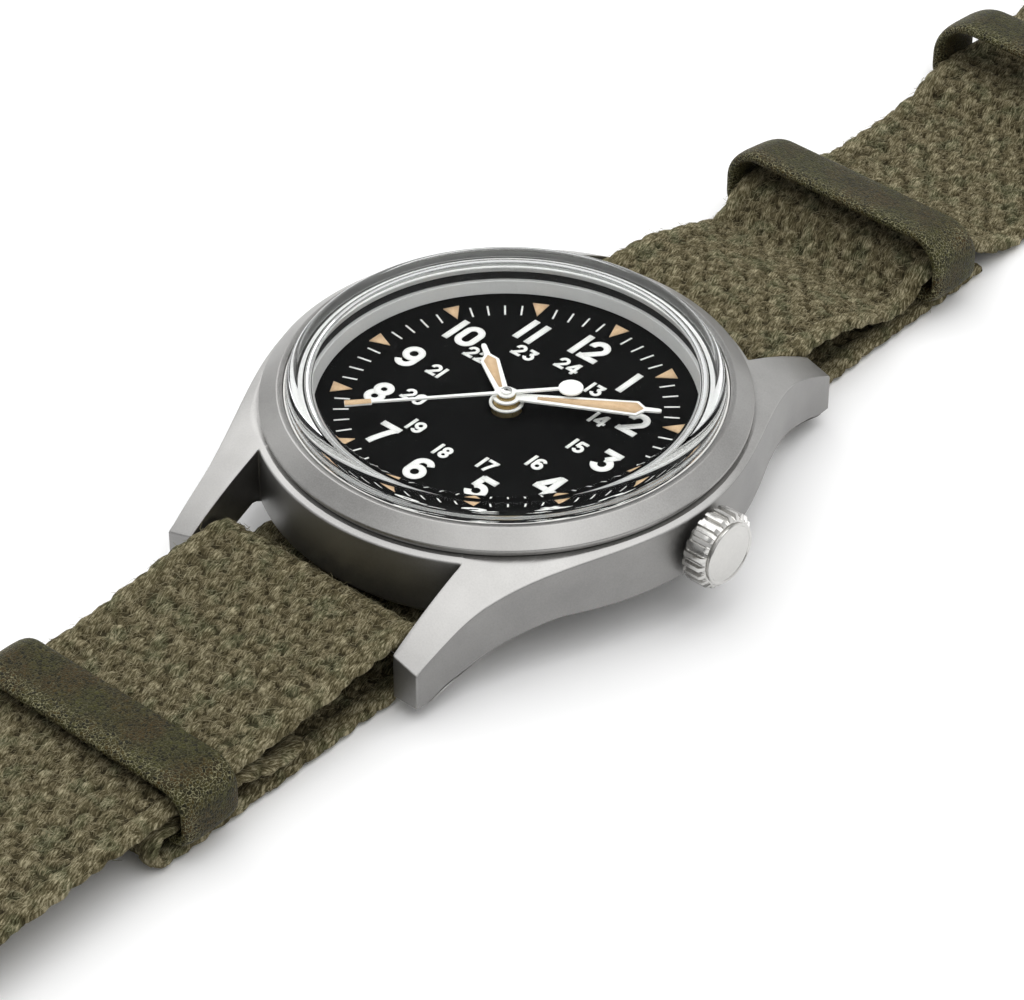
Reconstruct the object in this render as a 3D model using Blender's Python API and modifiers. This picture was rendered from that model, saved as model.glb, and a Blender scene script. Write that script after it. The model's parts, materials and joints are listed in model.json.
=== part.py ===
"""A hand-wound field wristwatch on a one-piece canvas strap, lying flat on a table.

X points to 3 o'clock (the crown), Y to 12 o'clock (the buckle) and Z up out of the dial.
The origin lies on the underside of the strap, below the centre of the dial.
"""

from math import acos, atan2, cos, hypot, pi, radians, sin, sqrt

import bmesh
import bpy
from mathutils import Matrix

MM = 0.001

# Strap
STRAP_WIDTH = 19.6 * MM
LONG_STRAP_THICKNESS = 1.22 * MM
SHORT_STRAP_THICKNESS = 1.18 * MM
LAYER_GAP = 0.15 * MM
TABLE_GAP = 0.02 * MM
STRAP_TAIL_Y = -168.0 * MM
TAIL_LANDS_Y = -97.0 * MM
STRAP_HOLE_COUNT = 8
STRAP_HOLE_PITCH = 7.0 * MM
STRAP_HOLE_RADIUS = 0.9 * MM
FIRST_HOLE_Y = -102.0 * MM
UNDER_CASE_BEND = 0.9 * MM
STRAIGHT_ENOUGH = 0.001 * MM * MM

# Keepers
KEEPER_LENGTH = 5.2 * MM
KEEPER_THICKNESS = 1.05 * MM
KEEPER_SIDE_GAP = 0.12 * MM
KEEPER_1_ROOM = 1.24 * MM
KEEPER_1_LIFT = 1.16 * MM
KEEPER_2_ROOM = 2.9 * MM
KEEPER_3_ROOM = 0.6 * MM
KEEPER_1_Y = 41.7 * MM
KEEPER_2_Y = 69.5 * MM
KEEPER_3_Y = -42.4 * MM

# Buckle
BUCKLE_Y = 85.0 * MM
BUCKLE_DEPTH = 12.5 * MM
BUCKLE_RAIL_RADIUS = 0.9 * MM
BUCKLE_PIN_RADIUS = 0.6 * MM
TONGUE_WIDTH = 1.7 * MM
TONGUE_THICKNESS = 0.5 * MM
STRAP_FOLD_LENGTH = 10.5 * MM

# Case, heights counted from the underside of the case back
CASE_DIAMETER = 38.0 * MM
LUG_TO_LUG = 47.0 * MM
LUG_SPACING = 20.0 * MM
LUG_TIP_WIDTH = 2.35 * MM
LUG_CURVE = 9.0 * MM
LUG_TIP_TOP = 1.64 * MM
LUG_FOOT = -1.4 * MM
LUG_FOOT_LENGTH = 1.6 * MM
CASE_UNDERCUT = 1.7 * MM
CASE_UNDERCUT_RADIUS = 19.6 * MM
CASE_SEAT = 0.65 * MM
CASE_TOP = 6.46 * MM
CASE_BORE_RADIUS = 15.55 * MM
BACK_THREAD_RADIUS = 16.2 * MM
BACK_THREAD_HEIGHT = 0.9 * MM
BACK_RADIUS = 17.2 * MM
BACK_FLOOR = 0.6 * MM
BACK_NOTCH_COUNT = 6
BACK_NOTCH = 1.2 * MM
GASKET_RADIUS = 16.75 * MM
GASKET_WIDTH = 0.36 * MM
GASKET_HEIGHT = 0.28 * MM
FIT_GAP = 0.05 * MM

# Spring bars
BAR_RADIUS = 0.75 * MM
BAR_PIVOT_RADIUS = 0.4 * MM
BAR_PIVOT_LENGTH = 0.9 * MM
BAR_FROM_TIP = 2.0 * MM
BAR_HEIGHT = 0.9 * MM

# Bezel and crystal
BEZEL_TOP = 8.2 * MM
BEZEL_TOP_RADIUS = 17.04 * MM
BEZEL_EDGE_RADIUS = 18.4 * MM
BEZEL_EDGE = 7.12 * MM
BEZEL_GROOVE_RADIUS = 18.0 * MM
BEZEL_GROOVE_HEIGHT = 0.5 * MM
BEZEL_LEDGE_RADIUS = 15.65 * MM
CRYSTAL_RADIUS = 16.35 * MM
CRYSTAL_TOP = 9.35 * MM
CRYSTAL_THICKNESS = 2.05 * MM
CRYSTAL_SHOULDER = 1.2 * MM
CRYSTAL_GASKET_WIDTH = 0.14 * MM

# Dial and rehaut
DIAL_TOP = 5.1 * MM
DIAL_THICKNESS = 0.4 * MM
DIAL_RADIUS = 15.3 * MM
DIAL_HOLE_RADIUS = 1.2 * MM
REHAUT_FOOT_RADIUS = 14.4 * MM
REHAUT_TOP_RADIUS = 14.9 * MM

# Hands: heights of their undersides above the dial
HAND_THICKNESS = 0.15 * MM
HOUR_HAND_HEIGHT = 0.5 * MM
MINUTE_HAND_HEIGHT = 1.05 * MM
SECONDS_HAND_HEIGHT = 1.4 * MM
HOUR_HAND_LENGTH = 7.4 * MM
MINUTE_HAND_LENGTH = 11.6 * MM
SECONDS_HAND_LENGTH = 12.05 * MM
HOUR_HAND_WIDTH = 1.44 * MM
MINUTE_HAND_WIDTH = 1.66 * MM
HOUR_HUB_RADIUS = 1.3 * MM
MINUTE_HUB_RADIUS = 1.05 * MM
SECONDS_HUB_RADIUS = 0.66 * MM
COUNTERWEIGHT_RADIUS = 0.95 * MM
COUNTERWEIGHT_FROM_CENTRE = 4.8 * MM
CLOCK_HOURS, CLOCK_MINUTES, CLOCK_SECONDS = 10, 9, 37

# Crown, stem and tube
STEM_HEIGHT = 3.5 * MM
STEM_RADIUS = 0.4 * MM
TUBE_RADIUS = 1.0 * MM
TUBE_BORE_RADIUS = 0.55 * MM
CROWN_RADIUS = 3.0 * MM
CROWN_FACE_RADIUS = 2.62 * MM
CROWN_FLUTES = 24
CROWN_FLUTE_DEPTH = 0.24 * MM
CROWN_LENGTH = 1.85 * MM
CROWN_CAP_HEIGHT = 0.45 * MM
CROWN_RECESS_RADIUS = 1.6 * MM
CROWN_STANDS_OFF = 0.35 * MM

# Movement, heights counted from the underside of the case back
PLATE_RADIUS = 12.6 * MM
PLATE_LOW = 3.2 * MM
PLATE_HIGH = 4.6 * MM
BRIDGE_LOW = 0.8 * MM
MOTION_WORK_FLOOR = 4.1 * MM
MOVEMENT_RING_LOW = 1.2 * MM
PIVOT_RADIUS = 0.1 * MM
ARBOR_RADIUS = 0.14 * MM
RUNNING_GAP = 0.06 * MM
POCKET_GAP = 0.12 * MM
SCREW_HEAD_RADIUS = 0.7 * MM
SCREW_RADIUS = 0.35 * MM
SCREW_HEAD_HEIGHT = 0.4 * MM
COCK_HALF = 1.15 * MM
HOUR_PIPE_RADIUS = 1.0 * MM
CANNON_RADIUS = 0.7 * MM
CENTRE_ARBOR_RADIUS = 0.4 * MM
SECONDS_ARBOR_RADIUS = 0.15 * MM
BARREL_ARBOR_RADIUS = 0.6 * MM
BARREL_PIVOT_RADIUS = 0.36 * MM
CROWN_WHEEL_POST_RADIUS = 0.5 * MM
SLIDING_PINION_ROOM = 0.9 * MM

# Heights of the wheels, counted from the underside of the case back
BARREL_LEVEL = (2.5 * MM, 3.1 * MM)
BARREL_COVER_LEVEL = (2.42 * MM, 2.49 * MM)
WINDING_LEVEL = (2.12 * MM, 2.34 * MM)
CENTRE_LEVEL = (1.88 * MM, 2.04 * MM)
THIRD_LEVEL = (1.5 * MM, 1.64 * MM)
FOURTH_LEVEL = (1.14 * MM, 1.28 * MM)
ESCAPE_LEVEL = (2.45 * MM, 2.6 * MM)
BALANCE_LEVEL = (1.9 * MM, 2.2 * MM)
HAIRSPRING_LEVEL = 1.6 * MM
MINUTE_LEVEL = (4.16 * MM, 4.28 * MM)
HOUR_LEVEL = (4.36 * MM, 4.48 * MM)

# Gear train: teeth and modules
BARREL_TEETH, CENTRE_PINION_TEETH, BARREL_MODULE = 60, 10, 0.155 * MM
CENTRE_TEETH, THIRD_PINION_TEETH, CENTRE_MODULE = 48, 6, 0.1222 * MM
THIRD_TEETH, FOURTH_PINION_TEETH = 60, 8
FOURTH_TEETH, ESCAPE_PINION_TEETH, FOURTH_MODULE = 60, 6, 0.0983 * MM
RATCHET_TEETH, CROWN_WHEEL_TEETH, WINDING_MODULE = 36, 30, 0.145 * MM
CANNON_TEETH, MINUTE_TEETH, MINUTE_PINION_TEETH, HOUR_TEETH, MOTION_MODULE = 10, 30, 8, 32, 0.15 * MM
ESCAPE_TEETH = 15
ESCAPE_RADIUS = 1.6 * MM
WINDING_PINION_TEETH = 12
WINDING_PINION_RADIUS = 1.1 * MM
TOOTH_ADDENDUM, TOOTH_DEDENDUM = 0.6, 1.0
BARREL_ANGLE, THIRD_ANGLE, ESCAPE_ANGLE, MINUTE_ANGLE = (radians(a) for a in (45, -150, -60, 200))
FORK_FROM_ESCAPE = 2.35 * MM
FORK_FROM_BALANCE = 3.1 * MM
BALANCE_RADIUS = 2.6 * MM
BALANCE_WELL_GAP = 0.15 * MM
HAIRSPRING_RADIUS = 2.2 * MM
HAIRSPRING_TURNS = 4
ESCAPEMENT_ANGLE = radians(-44)
COCK_FOOT_ANGLE = radians(-80)
PLATE_SCREW_ANGLES = (radians(95), radians(160), radians(245))

# Levels worked out from the sizes above
CASE_BACK_Z = SHORT_STRAP_THICKNESS + LONG_STRAP_THICKNESS + 2 * LAYER_GAP
CASE_RADIUS = CASE_DIAMETER / 2
LUG_TIP_Y = LUG_TO_LUG / 2
LUG_INNER_X = LUG_SPACING / 2
BAR_Y = LUG_TIP_Y - BAR_FROM_TIP
BAR_Z = CASE_BACK_Z + BAR_HEIGHT
STEM_Z = CASE_BACK_Z + STEM_HEIGHT
DIAL_Z = CASE_BACK_Z + DIAL_TOP
CROWN_X = CASE_RADIUS + CROWN_STANDS_OFF

TURN_STEPS = 48
SMALL_STEPS = 20

# Finishes: colour, roughness, metallic
FINISHES = {
    "blasted_steel": ((0.50, 0.50, 0.49), 0.45, 1.0),
    "polished_steel": ((0.72, 0.72, 0.72), 0.15, 1.0),
    "sapphire": ((0.92, 0.95, 0.95), 0.03, 0.0),
    "black_rubber": ((0.03, 0.03, 0.03), 0.7, 0.0),
    "satin_silver": ((0.62, 0.62, 0.62), 0.35, 1.0),
    "matt_black": ((0.012, 0.012, 0.012), 0.6, 0.0),
    "white_lacquer": ((0.85, 0.85, 0.82), 0.3, 0.0),
    "brass": ((0.72, 0.53, 0.25), 0.3, 1.0),
    "nickel": ((0.62, 0.60, 0.56), 0.35, 1.0),
    "blued_steel": ((0.05, 0.07, 0.2), 0.3, 1.0),
    "olive_canvas": ((0.115, 0.105, 0.068), 0.95, 0.0),
    "olive_leather": ((0.05, 0.045, 0.025), 0.5, 0.0),
}


def clear_scene():
    for obj in list(bpy.data.objects):
        bpy.data.objects.remove(obj)


clear_scene()
PARTS = bpy.data.collections.new("field_wristwatch")
CUTTERS = bpy.data.collections.new("cutters")
bpy.context.scene.collection.children.link(PARTS)
bpy.context.scene.collection.children.link(CUTTERS)


def finish(part, kind):
    colour, roughness, metallic = FINISHES[kind]
    material = bpy.data.materials.new(f"{part}_{kind}")
    material.use_nodes = True
    shader = material.node_tree.nodes["Principled BSDF"]
    shader.inputs["Base Color"].default_value = (*colour, 1)
    shader.inputs["Roughness"].default_value = roughness
    shader.inputs["Metallic"].default_value = metallic
    return material


def add(name, mesh, kind=None):
    """An object for a part, or, with no finish, for a helper that cuts or joins."""
    obj = bpy.data.objects.new(name, mesh)
    if kind:
        mesh.materials.append(finish(name, kind))
        PARTS.objects.link(obj)
    else:
        CUTTERS.objects.link(obj)
        obj.hide_render = True
        obj.display_type = "WIRE"
    return obj


def turned(name, profile, kind=None, centre=(0, 0, 0), along_x=False, steps=TURN_STEPS):
    """A lathe-turned piece: (radius, height) points that run down the outer side."""
    bm = bmesh.new()
    points = [bm.verts.new((radius, 0, height)) for radius, height in profile]
    for upper, lower in zip(points, points[1:]):
        bm.edges.new((upper, lower))
    if profile[0][0] > 0:
        bm.edges.new((points[-1], points[0]))
    mesh = bpy.data.meshes.new(name)
    bm.to_mesh(mesh)
    bm.free()
    obj = add(name, mesh, kind)
    screw = obj.modifiers.new("Turn", "SCREW")
    screw.steps = steps
    screw.render_steps = steps
    screw.use_merge_vertices = True
    screw.merge_threshold = 1e-6
    obj.location = centre
    if along_x:
        obj.rotation_euler = (0, pi / 2, 0)
    return obj


def ring(name, inner, outer, low, high, kind=None, **place):
    return turned(name, [(inner, high), (outer, high), (outer, low), (inner, low)], kind, **place)


def drum(name, radius, low, high, kind=None, **place):
    place.setdefault("steps", SMALL_STEPS)
    return turned(name, [(0, high), (radius, high), (radius, low), (0, low)], kind, **place)


def extruded(name, outlines, low, high, kind=None, matrix=None):
    """A flat outline, with any holes, given a thickness along Z and then placed by a matrix."""
    curve = bpy.data.curves.new(name, "CURVE")
    curve.dimensions = "2D"
    curve.fill_mode = "BOTH"
    curve.extrude = (high - low) / 2
    for outline in outlines:
        spline = curve.splines.new("POLY")
        spline.points.add(len(outline) - 1)
        for point, (x, y) in zip(spline.points, outline):
            point.co = (x, y, 0, 1)
        spline.use_cyclic_u = True
    flat = bpy.data.objects.new(name, curve)
    CUTTERS.objects.link(flat)
    graph = bpy.context.evaluated_depsgraph_get()
    mesh = bpy.data.meshes.new_from_object(flat.evaluated_get(graph))
    bpy.data.objects.remove(flat)
    bm = bmesh.new()
    bm.from_mesh(mesh)
    bmesh.ops.remove_doubles(bm, verts=bm.verts, dist=1e-7)
    bmesh.ops.translate(bm, verts=bm.verts, vec=(0, 0, (low + high) / 2))
    if matrix:
        bmesh.ops.transform(bm, verts=bm.verts, matrix=matrix)
    bm.to_mesh(mesh)
    bm.free()
    return add(name, mesh, kind)


def block(name, low_corner, high_corner):
    bm = bmesh.new()
    bmesh.ops.create_cube(bm, size=1)
    for vertex in bm.verts:
        vertex.co = [
            high if side > 0 else low
            for side, low, high in zip(vertex.co, low_corner, high_corner)
        ]
    mesh = bpy.data.meshes.new(name)
    bm.to_mesh(mesh)
    bm.free()
    return add(name, mesh)


def combine(target, operation, *others):
    for other in others:
        boolean = target.modifiers.new(operation.title(), "BOOLEAN")
        boolean.operation = operation
        boolean.object = other
    return target


def cut(target, *cutters):
    return combine(target, "DIFFERENCE", *cutters)


def fuse(target, *others):
    return combine(target, "UNION", *others)


def arc(centre, radius, start, end, count):
    """Points on an arc, from one angle to another in degrees."""
    angles = [radians(start + (end - start) * i / (count - 1)) for i in range(count)]
    return [(centre[0] + radius * cos(a), centre[1] + radius * sin(a)) for a in angles]


def circle(centre, radius, count=SMALL_STEPS):
    return arc(centre, radius, 0, 360 * (count - 1) / count, count)


def bezier(start, first, second, end, count):
    """Points on a cubic curve between two ends."""
    shares = [i / (count - 1) for i in range(count)]
    return [
        tuple(
            (1 - t) ** 3 * a + 3 * (1 - t) ** 2 * t * b + 3 * (1 - t) * t * t * c + t ** 3 * d
            for a, b, c, d in zip(start, first, second, end)
        )
        for t in shares
    ]


def from_axis(distance, angle):
    return (distance * cos(angle), distance * sin(angle))


def between(before, start, end, after, share):
    """A value part of the way from start to end, on a curve that is smooth past both."""
    slope = (end - before) / 2
    bend = before - 2.5 * start + 2 * end - after / 2
    twist = (3 * start - before - 3 * end + after) / 2
    return start + share * slope + share ** 2 * bend + share ** 3 * twist


def smooth_route(corners, count):
    """A smooth curve through a strap's guiding points, with a few points between each pair."""
    route = []
    ends = [corners[0]] + corners + [corners[-1]]
    for span in zip(ends, ends[1:], ends[2:], ends[3:]):
        for i in range(count):
            route.append(tuple(between(*values, i / count) for values in zip(*span)))
    return route + [corners[-1]]


def bends_only(route):
    """A route without the points where it runs straight on."""
    kept = [route[0]]
    for (y, z), (next_y, next_z) in zip(route[1:], route[2:]):
        turn = (y - kept[-1][0]) * (next_z - z) - (z - kept[-1][1]) * (next_y - y)
        if abs(turn) > STRAIGHT_ENOUGH:
            kept.append((y, z))
    return kept + [route[-1]]


def ribbon(route, thickness):
    """The outline of a band that follows a route, half its thickness to each side."""
    sides = []
    for i, (y, z) in enumerate(route):
        y0, z0 = route[max(i - 1, 0)]
        y1, z1 = route[min(i + 1, len(route) - 1)]
        length = hypot(y1 - y0, z1 - z0)
        normal = (-(z1 - z0) / length * thickness / 2, (y1 - y0) / length * thickness / 2)
        sides.append(((y + normal[0], z + normal[1]), (y - normal[0], z - normal[1])))
    return [left for left, _ in sides] + [right for _, right in reversed(sides)]


# Turns an outline drawn as (y, z) so that its thickness lies along X
SIDE_VIEW = Matrix(((0, 0, 1, 0), (1, 0, 0, 0), (0, 1, 0, 0), (0, 0, 0, 1)))
# Turns an outline drawn as (x, z) so that its thickness lies along Y
END_VIEW = Matrix(((1, 0, 0, 0), (0, 0, -1, 0), (0, 1, 0, 0), (0, 0, 0, 1)))
# Turns an outline drawn about Z so that its thickness lies along X
CROWN_VIEW = Matrix.Rotation(pi / 2, 4, "Y")


# Straps

STRAP_LOW = TABLE_GAP + LONG_STRAP_THICKNESS / 2
BAR_WRAP = BAR_RADIUS + 2 * LAYER_GAP + LONG_STRAP_THICKNESS / 2
PIN_WRAP = BUCKLE_PIN_RADIUS + LAYER_GAP + LONG_STRAP_THICKNESS / 2
PIN_Z = STRAP_LOW + PIN_WRAP
UNDER_CASE_Z = SHORT_STRAP_THICKNESS + LAYER_GAP + LONG_STRAP_THICKNESS / 2
SHORT_MID = SHORT_STRAP_THICKNESS / 2
FOLD_BAR_LOW = SHORT_STRAP_THICKNESS + LAYER_GAP
FOLD_TOP = FOLD_BAR_LOW + KEEPER_THICKNESS + LAYER_GAP + SHORT_MID
RIDES_OVER = STRAP_LOW + LONG_STRAP_THICKNESS + LAYER_GAP
OVER_KEEPER = FOLD_BAR_LOW + KEEPER_THICKNESS + LAYER_GAP + LONG_STRAP_THICKNESS / 2
IN_KEEPER = OVER_KEEPER + KEEPER_1_LIFT
TAIL_RIDES = FOLD_TOP + SHORT_MID + LAYER_GAP + LONG_STRAP_THICKNESS / 2
KEEPER_HALF = KEEPER_LENGTH / 2
STRAP_HALF = STRAP_WIDTH / 2


def lug_bend():
    """The long strap's way from over a spring bar down to under the case, on the 12 o'clock side."""
    down_y = BAR_Y - BAR_WRAP
    over = arc((BAR_Y, BAR_Z), BAR_WRAP, 80, 180, 8)
    bend_centre = (down_y - UNDER_CASE_BEND, UNDER_CASE_Z + UNDER_CASE_BEND)
    return over + arc(bend_centre, UNDER_CASE_BEND, 0, -90, 6)


def long_strap_route():
    bar_top = BAR_Z + BAR_WRAP
    fold = [(BUCKLE_Y - STRAP_FOLD_LENGTH, STRAP_LOW), (BUCKLE_Y - 3 * MM, STRAP_LOW)]
    loop = arc((BUCKLE_Y, PIN_Z), PIN_WRAP, -90, 90, 9)
    buckle_side = smooth_route(
        [
            (BUCKLE_Y - 1.5 * MM, PIN_Z + PIN_WRAP - 0.1 * MM),
            (BUCKLE_Y - 5 * MM, RIDES_OVER + 0.5 * MM),
            (BUCKLE_Y - 9 * MM, RIDES_OVER),
            (KEEPER_2_Y - KEEPER_HALF - 1 * MM, RIDES_OVER),
            (KEEPER_2_Y - KEEPER_HALF - 4 * MM, STRAP_LOW + 0.4 * MM),
            (KEEPER_2_Y - KEEPER_HALF - 7 * MM, STRAP_LOW),
            (KEEPER_1_Y + KEEPER_HALF + 9 * MM, STRAP_LOW),
            (KEEPER_1_Y + KEEPER_HALF + 6 * MM, STRAP_LOW + 0.4 * MM),
            (KEEPER_1_Y + KEEPER_HALF + 3.2 * MM, UNDER_CASE_Z + 0.3 * MM),
            (KEEPER_1_Y + KEEPER_HALF + 1.2 * MM, IN_KEEPER - 0.7 * MM),
            (KEEPER_1_Y + KEEPER_HALF - 0.8 * MM, IN_KEEPER - 0.05 * MM),
            (KEEPER_1_Y - KEEPER_HALF + 1.5 * MM, IN_KEEPER),
            (KEEPER_1_Y - KEEPER_HALF - 0.2 * MM, IN_KEEPER - 0.55 * MM),
            (KEEPER_1_Y - KEEPER_HALF - 1.5 * MM, IN_KEEPER - 1.6 * MM),
            (KEEPER_1_Y - KEEPER_HALF - 2.7 * MM, IN_KEEPER - 2.1 * MM),
            (KEEPER_1_Y - KEEPER_HALF - 4.3 * MM, IN_KEEPER - 1.85 * MM),
            (KEEPER_1_Y - KEEPER_HALF - 6.1 * MM, IN_KEEPER - 1.15 * MM),
            (BAR_Y + 7 * MM, bar_top - 0.6 * MM),
            (BAR_Y + 3.2 * MM, bar_top - 0.1 * MM),
        ],
        3,
    )
    under = lug_bend()
    other_side = [(-y, z) for y, z in reversed(under)]
    tail = smooth_route(
        [
            (-BAR_Y - 4 * MM, bar_top),
            (KEEPER_3_Y + KEEPER_HALF + 5 * MM, TAIL_RIDES),
            (KEEPER_3_Y - KEEPER_HALF - 2 * MM, TAIL_RIDES),
            (-61 * MM, TAIL_RIDES - 0.15 * MM),
            ((TAIL_LANDS_Y - 61 * MM) / 2, (TAIL_RIDES + STRAP_LOW) / 2),
            (TAIL_LANDS_Y, STRAP_LOW),
            (STRAP_TAIL_Y, STRAP_LOW),
        ],
        3,
    )
    route = fold + loop + buckle_side + under + other_side + tail
    return bends_only([(y, max(z, STRAP_LOW)) for y, z in route])


def short_strap_route():
    start_y = KEEPER_1_Y + KEEPER_HALF + 2.6 * MM
    fold_y = KEEPER_3_Y - KEEPER_HALF - 0.6 * MM
    loop = arc((fold_y, (SHORT_MID + FOLD_TOP) / 2), (FOLD_TOP - SHORT_MID) / 2, 270, 90, 9)
    back_y = KEEPER_3_Y + KEEPER_HALF
    sewn_z = SHORT_MID + SHORT_STRAP_THICKNESS + LAYER_GAP
    sewn = smooth_route(
        [
            (back_y + 0.6 * MM, FOLD_TOP),
            (back_y + 2.6 * MM, (FOLD_TOP + sewn_z) / 2 + 0.15 * MM),
            (back_y + 5 * MM, sewn_z),
            (back_y + 8 * MM, sewn_z),
        ],
        3,
    )
    return bends_only([(start_y, SHORT_MID)] + loop + sewn)


def build_straps():
    side = (-STRAP_HALF, STRAP_HALF)
    outline = ribbon(long_strap_route(), LONG_STRAP_THICKNESS)
    strap = extruded("long_strap", [outline], *side, kind="olive_canvas", matrix=SIDE_VIEW)
    far_y = BUCKLE_Y + 6 * MM
    tip_radius = STRAP_HALF + 1 * MM
    plan = [(tip_radius, far_y), (-tip_radius, far_y)]
    plan += arc((0, STRAP_TAIL_Y + tip_radius), tip_radius, 180, 360, 17)
    combine(strap, "INTERSECT", extruded("strap_plan", [plan], -1 * MM, 12 * MM))
    holes = [
        circle((0, FIRST_HOLE_Y - i * STRAP_HOLE_PITCH), STRAP_HOLE_RADIUS, 12)
        for i in range(STRAP_HOLE_COUNT)
    ]
    for i, hole in enumerate(holes):
        cut(strap, extruded(f"strap_hole_{i}", [hole], -1 * MM, 4 * MM))
    slot_x = TONGUE_WIDTH / 2 + 2 * LAYER_GAP
    slot_low = (-slot_x, BUCKLE_Y - 2.6 * MM, -1 * MM)
    cut(strap, block("tongue_slot", slot_low, (slot_x, BUCKLE_Y + 4 * MM, 6 * MM)))
    outline = ribbon(short_strap_route(), SHORT_STRAP_THICKNESS)
    extruded("short_strap", [outline], *side, kind="olive_canvas", matrix=SIDE_VIEW)


def loop_outline(half_width, low, high, low_corner, high_corner):
    """A rounded rectangle in the (x, z) plane, with softer corners at its top."""
    right, left = half_width - high_corner, -half_width + high_corner
    points = arc((right, high - high_corner), high_corner, 0, 90, 6)
    points += arc((left, high - high_corner), high_corner, 90, 180, 6)
    points += arc((-half_width + low_corner, low + low_corner), low_corner, 180, 270, 4)
    return points + arc((half_width - low_corner, low + low_corner), low_corner, 270, 360, 4)


def build_keepers():
    inner = STRAP_HALF + KEEPER_SIDE_GAP
    outer = inner + KEEPER_THICKNESS
    over_strap = IN_KEEPER + LONG_STRAP_THICKNESS / 2
    over_fold = RIDES_OVER + LONG_STRAP_THICKNESS / 2
    over_tail = TAIL_RIDES + LONG_STRAP_THICKNESS / 2
    places = (
        (KEEPER_1_Y, FOLD_BAR_LOW, over_strap + KEEPER_1_ROOM, 1.8 * MM),
        (KEEPER_2_Y, TABLE_GAP, over_fold + KEEPER_2_ROOM, 2.8 * MM),
        (KEEPER_3_Y, FOLD_BAR_LOW, over_tail + KEEPER_3_ROOM, 1 * MM),
    )
    for number, (y, low, ceiling, corner) in enumerate(places, start=1):
        top_corner = corner + KEEPER_THICKNESS
        outside = loop_outline(outer, low, ceiling + KEEPER_THICKNESS, 1.7 * MM, top_corner)
        inside = loop_outline(inner, low + KEEPER_THICKNESS, ceiling, 0.35 * MM, corner)
        span = (-y - KEEPER_HALF, -y + KEEPER_HALF)
        extruded(f"keeper_{number}", [outside, inside], *span, kind="olive_leather", matrix=END_VIEW)


def build_buckle():
    rail_x = STRAP_HALF + 2 * LAYER_GAP + BUCKLE_RAIL_RADIUS
    far_y = BUCKLE_Y + BUCKLE_DEPTH
    far_z = TABLE_GAP + BUCKLE_RAIL_RADIUS
    drop = (PIN_Z - far_z) / BUCKLE_DEPTH
    corner = 2.5 * MM
    half = [(rail_x, BUCKLE_Y - BUCKLE_RAIL_RADIUS)]
    half += arc((rail_x - corner, far_y - corner), corner, 0, 90, 5)
    plan = half + [(-x, y) for x, y in reversed(half)]
    curve = bpy.data.curves.new("buckle_frame", "CURVE")
    curve.dimensions = "3D"
    curve.bevel_depth = BUCKLE_RAIL_RADIUS
    curve.bevel_resolution = 2
    curve.use_fill_caps = True
    rail = curve.splines.new("POLY")
    rail.points.add(len(plan) - 1)
    for point, (x, y) in zip(rail.points, plan):
        point.co = (x, y, PIN_Z - drop * (y - BUCKLE_Y), 1)
    curve.materials.append(finish("buckle_frame", "blasted_steel"))
    PARTS.objects.link(bpy.data.objects.new("buckle_frame", curve))

    pin_half = rail_x - BUCKLE_RAIL_RADIUS - 2 * FIT_GAP
    pin_place = {"centre": (0, BUCKLE_Y, PIN_Z), "along_x": True}
    drum("buckle_pin", BUCKLE_PIN_RADIUS, -pin_half, pin_half, "polished_steel", **pin_place)

    eye = BUCKLE_PIN_RADIUS + RUNNING_GAP
    lift = far_z + BUCKLE_RAIL_RADIUS + 2 * FIT_GAP - PIN_Z
    reach = BUCKLE_DEPTH + 1.2 * MM
    outside = arc((0, 0), eye + TONGUE_THICKNESS, 40, 330, 16)
    outside += [(reach, lift), (reach, lift + 0.6 * TONGUE_THICKNESS)]
    outside += [(reach - 0.8 * MM, lift + TONGUE_THICKNESS), (2.5 * MM, lift + 1.2 * TONGUE_THICKNESS)]
    placed = Matrix.Translation((0, BUCKLE_Y, PIN_Z)) @ SIDE_VIEW
    span = (-TONGUE_WIDTH / 2, TONGUE_WIDTH / 2)
    extruded(
        "buckle_tongue", [outside, circle((0, 0), eye, 14)], *span, kind="polished_steel", matrix=placed
    )


# Case

def case_level(height):
    return CASE_BACK_Z + height


def lug_top(radius):
    """Height of the turned top of the lugs, a ball surface from the case's flat top to the lug tips."""
    flat_radius = BEZEL_EDGE_RADIUS + 0.1 * MM
    tip_radius = hypot(LUG_INNER_X + LUG_TIP_WIDTH, LUG_TIP_Y)
    high, low = case_level(CASE_TOP), case_level(LUG_TIP_TOP)
    ball_z = (flat_radius ** 2 + high ** 2 - tip_radius ** 2 - low ** 2) / (2 * (high - low))
    ball_radius = hypot(flat_radius, high - ball_z)
    return ball_z + sqrt(ball_radius ** 2 - radius ** 2)


def case_plan():
    """The case from above: a barrel with four lugs, one quarter drawn and turned into four."""
    side = (CASE_RADIUS, 0)
    tip = (LUG_INNER_X + LUG_TIP_WIDTH, LUG_TIP_Y)
    quarter = bezier(side, (CASE_RADIUS, LUG_CURVE), (tip[0], LUG_TIP_Y - LUG_CURVE), tip, 13)
    quarter.append((LUG_INNER_X, LUG_TIP_Y))
    lug_angle = acos(LUG_INNER_X / CASE_RADIUS)
    quarter += arc((0, 0), CASE_RADIUS, lug_angle * 180 / pi, 90, 7)
    upper = quarter + [(-x, y) for x, y in reversed(quarter[:-1])]
    return upper + [(-x, -y) for x, y in upper[1:-1]]


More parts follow.
